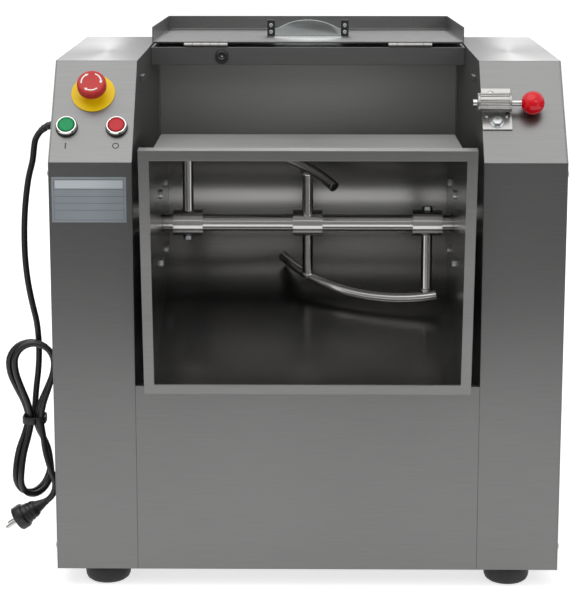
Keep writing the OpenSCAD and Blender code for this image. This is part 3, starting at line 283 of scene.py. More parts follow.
# Rolled foil of the bare plate: silver, faintly satin
FOIL = moulded("foil_plate_silver", "#9ba2a8", rough=0.38, grit_mm=0.6, relief=0.05, Metallic=0.5)
# Painted highlight along the flame-polished edge of the acrylic guard, where it gathers the light:
# opaque and near white
GUARD_HIGHLIGHT = moulded("acrylic_edge_painted_highlight", "#e4ecec", rough=0.25, grit_mm=3.0, relief=0.01)
# Cast acrylic of the guard: clear and glossy, with the metal behind it showing through
ACRYLIC, acrylic_tree, acrylic_bsdf = new_material("acrylic_cast_clear", "#eef4f4", roughness=0.06,
                                                   IOR=1.49, Transmission_Weight=1.0)
uneven_gloss(acrylic_tree, acrylic_bsdf, spots(acrylic_tree, ACRYLIC_CLOUD), low=0.04, high=0.1)

# Finish of each solid that shows as it is; finer pieces below replace the other solids
FINISHES = {
    BRUSHED: "base_plate left_column right_column left_side_cover right_side_cover front_panel"
             " back_panel deck top_beam lid_rests lid_pan",
    SATIN: "lock_plate hinge_beam_leaves hinge_lid_leaves",
    POLISHED: "bowl_shell",
    RIM: "bowl_rim",
    BRIGHT: "bowl_hubs agitator_shaft shaft_collars agitator_blade_a agitator_blade_b lock_plunger"
            " countershaft motor_shaft hub_bearings shaft_journals",
    ZINC: "housing_bolts hub_bolts collar_bolts",
    DRIVE: "agitator_sprocket drive_chain countershaft_sprocket countershaft_pulley motor_pulley",
    BRONZE: "trunnion_bushes",
    CAST: "trunnion_housings countershaft_bearings",
    RUBBER: "hub_seals drive_belt",
    BLACK_PLASTIC: "contact_blocks lid_sensor guard_posts",
    MOTOR: "motor",
    BOX: "electrical_box",
    BALL: "lock_ball",
    YELLOW: "stop_disc stop_housing",
}
for finish, names in FINISHES.items():
    for name in names.split():
        NODES[name].data.materials.clear()
        NODES[name].data.materials.append(finish)


def outside_of_bowl(face):
    """Whether a face of the bowl looks away from the bowl's middle."""
    out = face.center - at(0, AXIS_Y, AXIS_Z)
    if abs(face.normal.x) > 0.5:
        return face.normal.x * out.x >= 0
    return face.normal.y * out.y + face.normal.z * out.z >= 0


def looks_forward(face):
    """Whether a face looks to the front."""
    return face.normal.y < -0.5


# The back panel's forward faces take the paler steel: painted light in the shade inside the housing
SECOND_FINISHES = {"bowl_shell": (MILL, outside_of_bowl), "back_panel": (INNER_FACE_PAINTED_LIGHT, looks_forward)}
for name, (finish, chosen) in SECOND_FINISHES.items():
    mesh = NODES[name].data
    mesh.materials.append(finish)
    for face in mesh.polygons:
        face.material_index = int(chosen(face))


# Mesh helpers. A profile is a list of (radius, height) points, and parts are made in millimetres.

def piece(name, bm, finish, body, place=None, smooth=35, replaced=()):
    """Makes a mesh a piece that rides on a body."""
    bmesh.ops.recalc_face_normals(bm, faces=bm.faces)
    if place is not None:
        bm.transform(place)
    mesh = bpy.data.meshes.new(name)
    bm.to_mesh(mesh)
    bm.free()
    mesh.materials.append(finish)
    made = bpy.data.objects.new(name, mesh)
    bpy.context.scene.collection.objects.link(made)
    mesh.polygons.foreach_set("use_smooth", [True] * len(mesh.polygons))
    mesh.set_sharp_from_angle(angle=math.radians(smooth))
    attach(made, body)
    if replaced:
        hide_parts(*replaced)
    return made


def angles(count):
    """The angles of a full turn in equal steps."""
    return [2 * math.pi * k / count for k in range(count)]


def polar(r, angle):
    """A point of a circle."""
    return r * math.cos(angle), r * math.sin(angle)


def wall(bm, low, high):
    """Faces between two closed loops."""
    count = len(low)
    for k in range(count):
        bm.faces.new([low[k], low[(k + 1) % count], high[(k + 1) % count], high[k]])


def break_edges(bm, edges, width):
    """Breaks sharp edges with a small round."""
    bmesh.ops.bevel(bm, geom=edges, offset=width, segments=2, affect="EDGES", profile=0.6)


def lathe(profile, sides=64):
    """A body turned about z, closed where the radius is zero."""
    bm = bmesh.new()
    rings = [[bm.verts.new((*polar(r, a), z)) for a in angles(1 if r == 0 else sides)]
             for r, z in profile]
    for low, high in zip(rings, rings[1:]):
        for k in range(sides):
            a, b = low[k % len(low)], low[(k + 1) % len(low)]
            c, d = high[(k + 1) % len(high)], high[k % len(high)]
            corners = list(dict.fromkeys([a, b, c, d]))
            if len(corners) > 2:
                bm.faces.new(corners)
    return bm


def smooth_route(points, steps):
    """A smooth line through the points of a route."""
    points = [Vector(p) for p in points]
    last = len(points) - 1
    line = []
    for i in range(last):
        p0, p1, p2, p3 = points[max(i - 1, 0)], points[i], points[i + 1], points[min(i + 2, last)]
        for k in range(steps):
            t = k / steps
            line.append(0.5 * (2 * p1 + (p2 - p0) * t + (2 * p0 - 5 * p1 + 4 * p2 - p3) * t ** 2
                               + (3 * p1 - p0 - 3 * p2 + p3) * t ** 3))
    return line + [points[-1]]


def tube(line, radii, sides):
    """A round tube along a line, with a radius for each of its points."""
    bm = bmesh.new()
    last = len(line) - 1
    ways = [(line[min(i + 1, last)] - line[max(i - 1, 0)]).normalized() for i in range(len(line))]
    side = ways[0].orthogonal().normalized()
    rings = []
    for p, way, r in zip(line, ways, radii):
        side = (side - way * side.dot(way)).normalized()
        up = way.cross(side)
        rings.append([bm.verts.new(p + r * (math.cos(a) * side + math.sin(a) * up))
                      for a in angles(sides)])
    for low, high in zip(rings, rings[1:]):
        wall(bm, low, high)
    bm.faces.new(rings[0])
    bm.faces.new(rings[-1])
    return bm


def rectangle(x0, x1, y0, y1):
    """Outline of a rectangle."""
    return [(x0, y0), (x1, y0), (x1, y1), (x0, y1)]


def plate(outline, low, high, edge=0.0):
    """A flat body from an outline, with its upper edge broken where a width is given."""
    bm = bmesh.new()
    face = bm.faces.new([bm.verts.new((x, y, low)) for x, y in outline])
    top = bmesh.ops.extrude_face_region(bm, geom=[face])
    raised = [v for v in top["geom"] if isinstance(v, bmesh.types.BMVert)]
    bmesh.ops.translate(bm, verts=raised, vec=(0, 0, high - low))
    if edge:
        rim = [e for e in bm.edges if all(abs(v.co.z - high) < 1e-6 for v in e.verts)]
        break_edges(bm, rim, edge)
    return bm


def band(outer, inner, low, high, edge=0.0):
    """A closed band between two outlines, with its rims broken where a width is given."""
    bm = bmesh.new()
    corners = ((outer, low), (outer, high), (inner, high), (inner, low))
    loops = [[bm.verts.new((x, y, z)) for x, y in line] for line, z in corners]
    for a, b in zip(loops, loops[1:] + loops[:1]):
        wall(bm, a, b)
    if edge:
        count = len(outer)
        rims = [bm.edges.get((line[k], line[(k + 1) % count]))
                for line in loops for k in range(count)]
        break_edges(bm, rims, edge)
    return bm


def joined(parts):
    """Several meshes as one."""
    whole = bmesh.new()
    for part in parts:
        mesh = bpy.data.meshes.new("part")
        part.to_mesh(mesh)
        part.free()
        whole.from_mesh(mesh)
        bpy.data.meshes.remove(mesh)
    return whole


def moved(bm, matrix):
    """The same mesh, carried by a matrix."""
    bm.transform(matrix)
    return bm


def lathe_copies(profile, sides, places):
    """The same turned part at several places, as one mesh."""
    return joined([moved(lathe(profile, sides), place) for place in places])


SCREW_SIDES = 30
SCREW_HEAD = [(0.42, 0.3), (0.42, 0.95), (0.72, 1), (0.93, 0.8), (1, 0.45), (1, 0), (0, 0),
              (0, 0.3), (0.42, 0.3)]


def screw_head(d, height):
    """Profile of a round screw head with a socket in its top."""
    return [(d / 2 * r, height * z) for r, z in SCREW_HEAD]


# Mains lead: out of the gland, down beside the column, round and round in a tied hank, to the plug.
# LEAD gives the way out from the column's side, along y from the gland, and the share of the fall
# to the hank. DROP and TAIL give the same first two, and the height over the hank's lowest point.

CORD_D = 9
CORD_SIDES = 16
GLAND_Y, GLAND_Z = 175.085, 632
HANK_X, HANK_Y, HANK_TOP, HANK_H = -405, 151.085, 318, 228
HANK_R, HANK_WAIST = 32.5, 6  # radius of the round ends, half the width at the tie
HANK_NEST, HANK_SHIFT, HANK_PITCH = 4.5, 6, 11  # by turn: less radius, way right, way forward
HANK_LEAN, LEAN_START, LEAN_RATE = 50, 0.15, 2.6  # how far the lower end is turned, and from where
HANK_SIDE_SHARE = 0.6  # share of a quarter turn that runs along the side
HANK_START = 90  # angle at which the cord comes in and leaves
HANK_TURNS, HANK_STEPS = 2, 24
ROUTE_STEPS = 3
LEAD = [
    (0, 0, 0), (4, 0, 0), (8, 0, 0), (21.8, 0, 0.0086), (33.5, 0, 0.0334), (41.3, 0, 0.0707),
    (44, 0, 0.1146), (46.5, 0, 0.172), (53, -1, 0.255), (58, -3, 0.373), (60, -6, 0.49),
    (59.5, -9, 0.611), (56, -12, 0.726), (50, -15, 0.828), (44, -17, 0.914), (41.5, -18, 1),
]
DROP = [(41.5, -18.5, 205), (43, -19.5, 182), (46, -21, 158), (48, -22.5, 136)]
TAIL = [
    (33.7, -50.5, 92), (30.5, -54, 70), (24.9, -59, 51.3), (18.1, -62.5, 32.5), (16.3, -63, 22.2),
    (17.9, -63, 12.4), (22.7, -63, 3.7), (30, -63, -3),
]


def eased(t):
    """Smooth step from nought to one."""
    t = min(1, max(0, t))
    return t * t * (3 - 2 * t)


def hank_point(angle):
    """A point of the hank, its angle in degrees from the top: round ends, drawn in at the tie."""
    r = HANK_R - HANK_NEST * (angle - 360) / 360
    straight = HANK_H / 2 - r
    quarter = (angle - 90) % 180
    t = quarter / 90 if quarter < 90 else (180 - quarter) / 90
    if t < HANK_SIDE_SHARE:
        rise = straight * t / HANK_SIDE_SHARE
        width = HANK_WAIST + (r - HANK_WAIST) * eased(t / HANK_SIDE_SHARE)
    else:
        turn = math.radians(90 * (t - HANK_SIDE_SHARE) / (1 - HANK_SIDE_SHARE))
        rise, width = straight + r * math.sin(turn), r * math.cos(turn)
    z = rise if math.cos(math.radians(angle)) > 0 else -rise
    side = -width if math.sin(math.radians(angle)) < 0 else width
    lean = math.radians(HANK_LEAN * eased(LEAN_START - LEAN_RATE * z / HANK_H))
    return (HANK_X + HANK_SHIFT * (angle - HANK_START) / 360 + side * math.cos(lean),
            HANK_Y - HANK_PITCH * (angle - HANK_START) / 360 + side * math.sin(lean),
            HANK_TOP - HANK_H / 2 + z)


def beside(out, along, z):
    """A place of the lead beside the column."""
    return -SIDE_X - out, GLAND_Y + along, z


def hung(out, along, up):
    """A place given upwards from the hank's lowest point."""
    return beside(out, along, HANK_TOP - HANK_H + up)


lead = [beside(out, along, GLAND_Z - fall * (GLAND_Z - HANK_TOP)) for out, along, fall in LEAD]
turns = [hank_point(HANK_START + 360 / HANK_STEPS * i) for i in range(HANK_STEPS * HANK_TURNS + 1)]
cord_places = lead + [hung(*p) for p in DROP] + turns + [hung(*p) for p in TAIL]

# Strain relief: a ribbed sleeve that tapers over the route's first points, where the cord is hidden
RELIEF_POINTS, RELIEF_STEPS, RELIEF_SIDES = 5, 12, 24
RELIEF_R, RELIEF_TAPER = 6.5, 1.7
RIB_RISE, RIB_START, RIB_END = 0.5, 0.15, 0.9  # height, and the shares of the sleeve with ribs
RIB_STEPS, RIB_PITCH = 3, 6  # width and spacing of the ribs, in steps of the sleeve

route = [at(*p) for p in smooth_route(cord_places, ROUTE_STEPS)]
cord_line = route[ROUTE_STEPS * (RELIEF_POINTS - 1):]
jacket = tube(cord_line, [CORD_D / 2 * MM] * len(cord_line), CORD_SIDES)
mains_lead = piece("mains_lead", jacket, PVC, "root", smooth=60,
                   replaced=["mains_cord", "cord_hank"])


def relief_radius(step, share):
    """Radius of the strain relief at a step of its line, in metres."""
    rib = RIB_RISE if RIB_START < share < RIB_END and step % RIB_PITCH < RIB_STEPS else 0.0
    return (RELIEF_R - RELIEF_TAPER * share + rib) * MM


relief_count = RELIEF_STEPS * (RELIEF_POINTS - 1)
relief_line = [at(*p) for p in smooth_route(lead, RELIEF_STEPS)][:relief_count + 1]
relief_radii = [relief_radius(i, i / relief_count) for i in range(relief_count + 1)]
piece("strain_relief", tube(relief_line, relief_radii, RELIEF_SIDES), BLACK_PLASTIC, "root",
      smooth=60)

# Cable gland: its flange, then its hexagon nut
FLANGE = [(6.8, 0), (11.3, 0), (11.3, 1.4), (10.8, 1.8), (6.8, 1.8), (6.8, 0)]
NUT = [(7, 1.8), (10.6, 1.8), (11, 2.2), (11, 5.2), (10.2, 6), (8, 6), (8, 7.5), (7, 7.5), (7, 1.8)]
piece("gland_nut", joined([lathe(FLANGE, 48), lathe(NUT, 6)]), BLACK_PLASTIC, "root",
      placed(-SIDE_X, GLAND_Y, GLAND_Z, turned(-90, "Y")), smooth=30,
      replaced=["cord_gland"])

# Plug: ribbed neck, round body with a raised edge round its face, two pins, two earth contacts
PLUG_LEAN = 33
PLUG = [(0, -1), (4.8, -1), (5.4, 3), (9, 15), (9.4, 16), (10.6, 17), (12.4, 21), (12.8, 23),
        (12, 24), (13.4, 27), (13.8, 29), (13, 30), (14.6, 33), (15, 35), (17.2, 37), (18, 39),
        (18, 48.6), (17.5, 50), (15.6, 50), (15.2, 49), (0, 49)]
GRIP = [(17.4, -1.1), (18.5, -0.7), (18.5, 0.7), (17.4, 1.1)]
GRIP_LOW, GRIP_HIGH, GRIP_EDGE = 38, 48, 0.3
GRIPS, FIRST_GRIP = 6, 30
PIN = [(0, 48), (2.9, 48), (2.9, 50.4), (2.4, 51), (2.4, 66.4), (2.1, 68), (1.2, 69), (0, 69)]
PIN_Y = 9.5
CONTACT = rectangle(15.7, 18.35, -2.6, 2.6)
CONTACT_LOW, CONTACT_HIGH = 40, 50.2

plug_place = placed(*cord_places[-1], turned(-90 - PLUG_LEAN, "Y"))
grips = [moved(plate(GRIP, GRIP_LOW, GRIP_HIGH, GRIP_EDGE),
               turned(360 / GRIPS * i + FIRST_GRIP, "Z")) for i in range(GRIPS)]
earths = [moved(plate(CONTACT, CONTACT_LOW, CONTACT_HIGH), turned(angle, "Z"))
          for angle in (0, 180)]
plug = piece("plug_moulded", joined([lathe(PLUG)] + grips), PVC, "root", plug_place,
             replaced=["mains_plug"])
pin_places = [shifted(0, side * PIN_Y) for side in (-1, 1)]
pins = piece("plug_pins", lathe_copies(PIN, 32, pin_places), BRIGHT, "root",
             plug_place)
contacts = piece("plug_contacts", joined(earths), BRIGHT, "root", plug_place)

# Tie: a flat band round the hank's waist, with its small buckle
TIE_HALF, TIE_GAP, TIE_OUT, TIE_EDGE = 5, 0.4, 2.0, 0.4
TIE_CORNER, TIE_STEPS = 0.6, 8
BUCKLE = [(-4, 0), (4, 0), (4, 3), (3, 4), (-3, 4), (-4, 3)]
BUCKLE_HALF, BUCKLE_EDGE, BUCKLE_OUT = 4, 0.5, 1

waist = [hank_point(HANK_START + 180 * i) for i in range(2 * HANK_TURNS + 1)]
waist_low = [min(p[k] for p in waist) - CORD_D / 2 for k in (0, 1)]
waist_high = [max(p[k] for p in waist) + CORD_D / 2 for k in (0, 1)]
waist_middle = [(a + b) / 2 for a, b in zip(waist_low, waist_high)]


def tie_loop(grow):
    """Outline round the waist with round corners, grown by a distance."""
    half = [(b - a) / 2 + grow for a, b in zip(waist_low, waist_high)]
    r = min(half) * TIE_CORNER
    line = []
    for side_x, side_y, start in ((1, 1, 0), (-1, 1, 90), (-1, -1, 180), (1, -1, 270)):
        for i in range(TIE_STEPS + 1):
            x, y = polar(r, math.radians(start + 90 * i / TIE_STEPS))
            line.append((waist_middle[0] + side_x * (half[0] - r) + x,
                         waist_middle[1] + side_y * (half[1] - r) + y))
    return line


strap = band(tie_loop(TIE_OUT), tie_loop(TIE_GAP), -TIE_HALF, TIE_HALF, TIE_EDGE)
buckle = moved(plate(BUCKLE, -BUCKLE_HALF, BUCKLE_HALF, BUCKLE_EDGE),
               shifted(waist_middle[0], waist_low[1] - BUCKLE_OUT) @ turned(180, "Z"))
tie = piece("tie_band", joined([strap, buckle]), BLACK_PLASTIC, "root",
            placed(0, 0, HANK_TOP - HANK_H / 2), smooth=50, replaced=["hank_tie"])


# Emergency stop: a mushroom on its stem, with three turning arrows as thin raised marks

STOP_X, STOP_SHARE = -295, 0.67
MUSHROOM = [(0, 14.5), (15, 14.5), (18.5, 15), (20, 16.5), (20, 24.5), (19.4, 26.9), (17.8, 28.8),
            (15.6, 29.5), (14, 29.2), (0, 28.8)]
STEM = [(0, -2), (7, -2), (7, 14.5), (0, 14.5)]
ARROW_STARTS, ARROW_SWEEP, ARROW_R, ARROW_W = (70, -50, 190), 82, 13.4, 1.9
ARROW_LINE, ARROW_STEPS = 0.78, 12  # share of the sweep before the head
ARROW_HEAD = 1.3  # half width of the head, in widths of the line
ARROW_LOW, ARROW_HIGH = 28.6, 29.45


def arrow(start):
    """A turning arrow, from the angle of its tail."""
    arc = [math.radians(start - ARROW_SWEEP * ARROW_LINE * i / ARROW_STEPS)
           for i in range(ARROW_STEPS + 1)]
    outline = [polar(ARROW_R + ARROW_W / 2, a) for a in arc]
    tip = math.radians(start - ARROW_SWEEP)
    outline += [polar(ARROW_R + ARROW_W * ARROW_HEAD, arc[-1]), polar(ARROW_R, tip),
                polar(ARROW_R - ARROW_W * ARROW_HEAD, arc[-1])]
    outline += [polar(ARROW_R - ARROW_W / 2, a) for a in reversed(arc)]
    return plate(outline, ARROW_LOW, ARROW_HIGH)


stop_place = on_slope(STOP_X, STOP_SHARE)
piece("stop_mushroom_body", joined([lathe(MUSHROOM, 96), lathe(STEM, 48)]), STOP_RED,
      "emergency_stop", stop_place, replaced=["stop_mushroom"])
piece("stop_arrows", joined([arrow(start) for start in ARROW_STARTS]), WHITE_INK, "emergency_stop",
      stop_place)


# Push buttons: threaded body with a black base, a chromed ring and a dished cap

BUTTON_XS, BUTTON_SHARE = (-328, -260), 0.335
BUTTON_BASE = [(5.6, -20), (11, -20), (11, 0), (15.2, 0), (15.2, 2.4), (14.8, 3), (10.8, 3),
               (10.8, -2.6), (5.6, -2.6), (5.6, -20)]
BUTTON_RING = [(10.8, 3), (14.4, 3), (14.75, 3.5), (14.75, 5.2), (14.2, 6.8), (13.2, 7.9),
               (12.2, 8.1), (11.3, 7.5), (10.8, 6.4), (10.8, 3)]
BUTTON_CAP = [(0, -16.9), (5.2, -16.9), (5.2, 1), (10.4, 1), (10.4, 8.2), (10.1, 8.8), (9.6, 9),
              (9, 8.8), (8.6, 8.4), (0, 8.1)]

button_places = [on_slope(x, BUTTON_SHARE) for x in BUTTON_XS]
piece("button_bases", lathe_copies(BUTTON_BASE, 64, button_places), BLACK_PLASTIC, "root")
piece("button_rings", lathe_copies(BUTTON_RING, 64, button_places), CHROME, "root",
      replaced=["button_bezels"])
piece("start_cap", lathe(BUTTON_CAP), GREEN, "start_button", button_places[0],
      replaced=["start_button"])
piece("stop_cap", lathe(BUTTON_CAP), BUTTON_RED, "stop_button", button_places[1],
      replaced=["stop_button"])


# Bowl lock: ridges along its barrel and a collar at each end; bolt, stud and rivets on its plate

LOCK_X, LOCK_SHARE, LOCK_LIFT = 230, 0.515, 17
BARREL_R = 12.5
RIDGE = [(0, 3), (0.9, 3.4), (1.3, 4.2), (1.3, 41.8), (0.9, 42.6), (0, 43)]
RIDGE_ANGLES = (-70, -42, -14, 14, 42, 70)
COLLAR = [(12.2, 0), (13.1, 0), (13.5, 0.5), (13.5, 2.5), (13.1, 3), (12.2, 3), (12.2, 0)]
COLLAR_XS = (0.4, 42.6)
BOLT_X, BOLT_Y, BOLT_FOOT = 27, -21, 2
BOLT_WASHER = [(0, 0), (9.36, 0), (9.88, 0.4), (9.62, 1), (0, 1)]
BOLT_R, BOLT_LOW, BOLT_CHAMFER, BOLT_HIGH = 13 / math.sqrt(3), 1, 4.772, 5.6
BOLT_HEAD = [(0, BOLT_LOW), (BOLT_R, BOLT_LOW), (BOLT_R, BOLT_CHAMFER), (BOLT_R * 0.88, BOLT_HIGH),
             (0, BOLT_HIGH)]
SHANK = [(0, -4), (3, -4), (3, 2.5), (0, 2.5)]
STUD = [(0, -2), (2.9, -2), (2.9, 2), (4.4, 2), (4.6, 2.6), (4.2, 3.8), (3, 4.8), (1.4, 5.3),
        (0, 5.4)]
STUD_X, STUD_Y = 20.3, 24
RIVET = [(0, 1.5), (2.6, 1.5), (2.7, 2.4), (2.2, 3.3), (1.2, 3.9), (0, 4)]
RIVET_XS, RIVET_Y = (13, 40), -12.5

lying = turned(90, "Y")
ridges = []
for angle in RIDGE_ANGLES:
    z, y = polar(BARREL_R, math.radians(angle))
    ridges.append(moved(moved(lathe(RIDGE, 12), lying), shifted(0, y, z)))
for x in COLLAR_XS:
    ridges.append(moved(lathe([(r, x + length) for r, length in COLLAR]), lying))
lock_place = on_slope(LOCK_X, LOCK_SHARE)
piece("barrel_ridges", moved(joined(ridges), shifted(0, 0, LOCK_LIFT)), SATIN, "root",
      lock_place)
bolt_head = joined([lathe(BOLT_HEAD, 6), lathe(BOLT_WASHER, 40)])
lock_heads = [moved(bolt_head, shifted(BOLT_X, BOLT_Y, BOLT_FOOT)),
              moved(lathe(SHANK, 24), shifted(BOLT_X, BOLT_Y)),
              moved(lathe(STUD, 32), shifted(STUD_X, STUD_Y)),
              lathe_copies(RIVET, 24, [shifted(x, RIVET_Y) for x in RIVET_XS])]
piece("lock_bolts", joined(lock_heads), ZINC, "root", lock_place,
      replaced=["lock_plate_bolts"])


# Feet: moulded cups with a rounded sole, each on its stud

FOOT_X, FOOT_YS = 282.5, (38, 447)
FOOT = [(0, 0), (21, 0), (26, 1.2), (29.6, 4), (31.4, 8), (32, 13), (32, 22), (31.2, 24.4),
        (29.6, 25), (4, 25), (4, 35), (0, 35)]
foot_places = [placed(x, y, 0) for x in (-FOOT_X, FOOT_X) for y in FOOT_YS]
piece("rubber_feet", lathe_copies(FOOT, 80, foot_places), RUBBER, "root",
      replaced=["feet"])


# Screws of the side covers

COVER_SCREWS = [(9.5, 59), (9.5, 587), (121, 720.5), (453, 720.5), (475.5, 59)]
cover_places = [placed(side * SIDE_X, y, z, turned(90 * side, "Y")) for side in (-1, 1)
                for y, z in COVER_SCREWS]
piece("cover_screw_heads", lathe_copies(screw_head(9, 2.4), SCREW_SIDES, cover_places), ZINC,
      "root", replaced=["side_cover_screws"])


# Lid: screws in the hinge leaves and in the posts of the window guard

HINGE_Y, HINGE_Z, LID_DROOP = 335, 730.95, 1.5
HINGE_XS, LEAF_TOP = (-154, 154), 1.8
LEAF_SCREW = [(0, 0.1), (0.8, 0.1), (1.1, 0.75), (2.6, 0.7), (3.3, 0.1), (3.3, -0.5), (0, -0.5)]
LEAF_HOLES = [(-22, 20.5), (0, 14.5), (22, 20.5)]
POST_XS, POST_Y, POST_ZS = (-58.3, 58.3), 145, (11, 21.5)

beam_place = placed(0, HINGE_Y, HINGE_Z)
lid_place = placed(0, HINGE_Y, HINGE_Z, turned(-LID_DROOP, "X"))
leaf_spots = [(middle + x, y) for middle in HINGE_XS for x, y in LEAF_HOLES]
beam_screws = [shifted(x, y, -LEAF_TOP) for x, y in leaf_spots]
lid_screws = [shifted(x, y, LEAF_TOP) @ UPSIDE_DOWN for x, y in leaf_spots]
post_screws = [shifted(x, POST_Y, z) @ FACING for x in POST_XS for z in POST_ZS]
piece("beam_leaf_screws", lathe_copies(LEAF_SCREW, 28, beam_screws), ZINC, "root",
      beam_place)
piece("lid_leaf_screws", lathe_copies(LEAF_SCREW, 28, lid_screws), ZINC, "lid",
      lid_place)
piece("guard_screws", lathe_copies(screw_head(6.5, 2.6), SCREW_SIDES, post_screws), ZINC, "lid",
      lid_place)

# Clear guard behind the pouring window: its top rises in an arch, and a near-white tube along the
# arch is a painted highlight of its polished edge

GUARD_HALF, GUARD_LOW, GUARD_H, GUARD_T = 52, 11, 25, 3
GUARD_BACK, GUARD_FOOT, GUARD_EDGE = 154, 4.8, 0.4
ARCH_HALF, ARCH_FOOT, ARCH_STEPS = 46, 12.5, 24
HIGHLIGHT_TUBE_R, HIGHLIGHT_TUBE_SIDES = 0.45, 8

arch_rise = GUARD_H - ARCH_FOOT
arch_r = (ARCH_HALF ** 2 + arch_rise ** 2) / (2 * arch_rise)
arch_open = math.asin(ARCH_HALF / arch_r)
arch = [(arch_r * math.sin(a), GUARD_H - arch_r + arch_r * math.cos(a))
        for a in [arch_open * (1 - 2 * i / ARCH_STEPS) for i in range(ARCH_STEPS + 1)]]
guard_top = [(GUARD_HALF, GUARD_LOW)] + arch + [(-GUARD_HALF, GUARD_LOW)]
guard_outline = [(-GUARD_HALF, 0), (GUARD_HALF, 0)] + guard_top
guard_place = lid_place @ shifted(0, GUARD_BACK, GUARD_FOOT) @ FACING
piece("guard_arched", plate(guard_outline, 0, GUARD_T, GUARD_EDGE), ACRYLIC, "lid",
      guard_place, replaced=["window_guard"])
# A thin near-white tube along the arch: a painted highlight of the guard's edge
edge_line = [Vector((x, z, GUARD_T)) for x, z in guard_top]
highlight_tube = tube(edge_line, [HIGHLIGHT_TUBE_R] * len(edge_line), HIGHLIGHT_TUBE_SIDES)
piece("guard_edge_painted_highlight", highlight_tube, GUARD_HIGHLIGHT, "lid", guard_place, smooth=60)


# Sensor in the beam: threaded nose with a bright centre

SENSOR_X, SENSOR_Y, SENSOR_Z = -130, 335, 714.6
NOSE = [(0, 1), (3, 1), (3.2, 4.2), (4.6, 5.6), (6.2, 5.9), (7.4, 5.2), (7.8, 4.6), (9.2, 4.6),
        (10, 3.8), (10, 0), (9, -0.5), (0, -0.5)]
EYE = [(0, 0.5), (2.9, 0.5), (2.9, 2.2), (2, 2.9), (0, 3.1)]
sensor_place = placed(SENSOR_X, SENSOR_Y, SENSOR_Z, FACING)
piece("sensor_nose", lathe(NOSE, 48), BLACK_PLASTIC, "root", sensor_place)
piece("sensor_eye", lathe(EYE, 32), CHROME, "root", sensor_place)


# Weld beads where the arms meet the swept bars

BEAD_R, BEAD_D = 8.6, 3.4
BEAD_STEPS, BEAD_SIDES = 56, 10
BEAD_RIPPLES, BEAD_RIPPLE = 14, 0.1
ARM_X, OUTER_REACH = 172, 98.2
MIDDLE_TWIST, MIDDLE_REACH = 29, 93.4
ARMS = [(ARM_X, 0, OUTER_REACH), (0, MIDDLE_TWIST, MIDDLE_REACH), (-ARM_X, 180, OUTER_REACH),
        (0, 180 + MIDDLE_TWIST, MIDDLE_REACH)]


def bead(start):
    """An uneven ring of weld metal, its ripples begun at a given angle."""
    bm = bmesh.new()
    rings = []
    for a in angles(BEAD_STEPS):
        size = BEAD_D / 2 * (1 + BEAD_RIPPLE * math.sin(BEAD_RIPPLES * a + start))
        rings.append([bm.verts.new((*polar(BEAD_R + size * math.cos(b), a), size * math.sin(b)))
                      for b in angles(BEAD_SIDES)])
    for low, high in zip(rings, rings[1:] + rings[:1]):
        wall(bm, low, high)
    return bm


beads = [moved(bead(i), shifted(x, 0) @ (turned(180 + twist, "X") @ shifted(0, 0, reach)))
         for i, (x, twist, reach) in enumerate(ARMS)]
piece("weld_beads", joined(beads), BRIGHT, "agitator",
      placed(0, AXIS_Y, AXIS_Z), smooth=60)


# Marks under the buttons: a stroke for on, a ring for off

MARK_SHARE, MARK_H = 0.16, 0.12
STROKE = rectangle(-0.9, 0.9, -4.5, 4.5)
RING = [(3.2, 0), (4.6, 0), (4.6, MARK_H), (3.2, MARK_H), (3.2, 0)]
piece("start_mark", plate(STROKE, 0, MARK_H), BLACK_INK, "root",
      on_slope(BUTTON_XS[0], MARK_SHARE))
piece("stop_mark", lathe(RING, 48), BLACK_INK, "root",
      on_slope(BUTTON_XS[1], MARK_SHARE))


# Bare plate on the left column's front: a ruled frame, four rules and an empty header band

PLATE_X, PLATE_Z, PLATE_T = (-346, -245), (521, 583), 0.3
FRAME_MARGIN, RULE_W, RULE_LOW, RULE_HIGH = 3, 0.4, 0.28, 0.38
FIRST_RULE, RULE_PITCH, RULES = 17, 9.5, 4
HEADER_MARGIN, HEADER_Z, HEADER_HIGH = 1.5, (567.5, 578.5), 0.36


def within(span, margin):
    """A span less a margin at both ends."""
    return span[0] + margin, span[1] - margin


frame_x, frame_z = within(PLATE_X, FRAME_MARGIN), within(PLATE_Z, FRAME_MARGIN)
field_x, field_z = within(frame_x, RULE_W), within(frame_z, RULE_W)
rules = [band(rectangle(*frame_x, *frame_z), rectangle(*field_x, *field_z), RULE_LOW, RULE_HIGH)]
for k in range(RULES):
    z = PLATE_Z[1] - FIRST_RULE - RULE_PITCH * k
    rules.append(plate(rectangle(*field_x, z, z + RULE_W), RULE_LOW, RULE_HIGH))
header = rectangle(*within(frame_x, HEADER_MARGIN), *HEADER_Z)
front = placed(0, 0, 0, FACING)
piece("foil_plate", plate(rectangle(*PLATE_X, *PLATE_Z), 0, PLATE_T), FOIL, "root",
      front)
piece("foil_plate_rules", joined(rules), GREY_INK, "root", front)
piece("foil_plate_header", plate(header, RULE_LOW, HEADER_HIGH), PALE_INK, "root",
      front)


# Soft boxes, in metres: where each hangs, what it faces, its size, and its radiance

LIGHTS = {
    "softbox_above": ((-0.5, -0.9, 2.7), (0, 0, 0.4), (3.0, 2.4), 1.4),
    "softbox_right": ((1.35, -2.1, 1.5), (0.1, 0, 0.55), (0.5, 0.5), 8.0),
    "softbox_back": ((0, 3.0, 1.45), (0, 0, 0.75), (3.6, 1.1), 1.55),
}
for name, (centre, target, size, radiance) in LIGHTS.items():
    data = bpy.data.lights.new(name, "AREA")
    data.shape = "RECTANGLE"
    data.size, data.size_y = size
    data.energy = radiance * math.pi * size[0] * size[1]
    softbox = bpy.data.objects.new(name, data)
    softbox.location = centre
    softbox.rotation_mode = "QUATERNION"
    softbox.rotation_quaternion = (Vector(target) - Vector(centre)).to_track_quat("-Z", "Y")
    softbox.visible_camera = False
    bpy.context.scene.collection.objects.link(softbox)


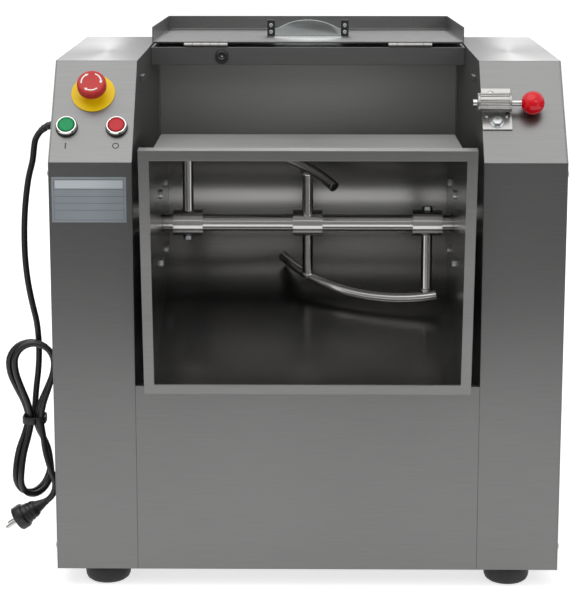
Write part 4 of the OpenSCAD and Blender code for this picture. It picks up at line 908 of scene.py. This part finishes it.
def seen_directly(tree):
    """One where the eye meets the surface, straight or by way of metal or glass."""
    path = add(tree, "ShaderNodeLightPath")
    camera_ray, glossy_ray, through_ray = [path.outputs[f"Is {kind} Ray"] for kind in
                                           ("Camera", "Glossy", "Transmission")]
    mirrored = add(tree, "ShaderNodeMath", {0: camera_ray, 1: glossy_ray}, operation="MAXIMUM")
    return add(tree, "ShaderNodeMath", {0: mirrored.outputs[0], 1: through_ray},
               operation="MAXIMUM").outputs[0]


# World: even light at a plain level, and white where it is seen
WORLD_LIGHT = 0.55
world = bpy.data.worlds.new("studio")
bpy.context.scene.world = world
world.use_nodes = True
sky = world.node_tree
background = sky.nodes["Background"]
background.inputs["Color"].default_value = linear("#ffffff")
level = add(sky, "ShaderNodeMapRange", {"Value": seen_directly(sky), "To Min": WORLD_LIGHT})
sky.links.new(level.outputs["Result"], background.inputs["Strength"])


def stage_sheet(name, corners, material):
    """A flat sheet of the studio, no part of the machine."""
    mesh = bpy.data.meshes.new(name)
    mesh.from_pydata(corners, [], [(0, 1, 2, 3)])
    mesh.materials.append(material)
    made = bpy.data.objects.new(name, mesh)
    bpy.context.scene.collection.objects.link(made)
    return made


# Floor: matt paper that glows white where it is seen and keeps the machine's shadow
FLOOR_HALF, FLOOR_GLOW = 12.0, 0.7
floor_material, floor_tree, floor_bsdf = new_material("floor_paper_matt", "#d8d8d8", roughness=0.9)
floor_bsdf.inputs["Emission Color"].default_value = linear("#ffffff")
glow = add(floor_tree, "ShaderNodeMath", {0: seen_directly(floor_tree), 1: FLOOR_GLOW},
           operation="MULTIPLY")
floor_tree.links.new(glow.outputs[0], floor_bsdf.inputs["Emission Strength"])
floor_corners = rectangle(-FLOOR_HALF, FLOOR_HALF, -FLOOR_HALF, FLOOR_HALF)
stage_sheet("floor", [(x, y, 0) for x, y in floor_corners], floor_material)

# Grey cards as a studio has, seen by the metal only: low ones round the machine, a darker one
# behind it. In metres: each stands between two places on the floor, up to a height.
CARD_FOOT = 0.02
CARDS = {
    "front_card": ((-1.2, -1.5), (1.2, -1.5), 1.05, "#b8b8b8"),
    "left_card": ((-1.6, -1.1), (-1.6, 1.1), 0.95, "#909090"),
    "right_card": ((1.6, -1.1), (1.6, 1.1), 0.95, "#909090"),
    "back_card": ((-0.42, 1.5), (0.42, 1.5), 1.1, "#505050"),
}
for name, (start, end, high, colour) in CARDS.items():
    corners = [(*start, CARD_FOOT), (*end, CARD_FOOT), (*end, high), (*start, high)]
    card = stage_sheet(name, corners, new_material(name + "_matt", colour, roughness=0.9)[0])
    card.visible_camera = card.visible_diffuse = False
    card.visible_shadow = card.visible_transmission = False

bpy.context.scene.view_settings.view_transform = "Standard"
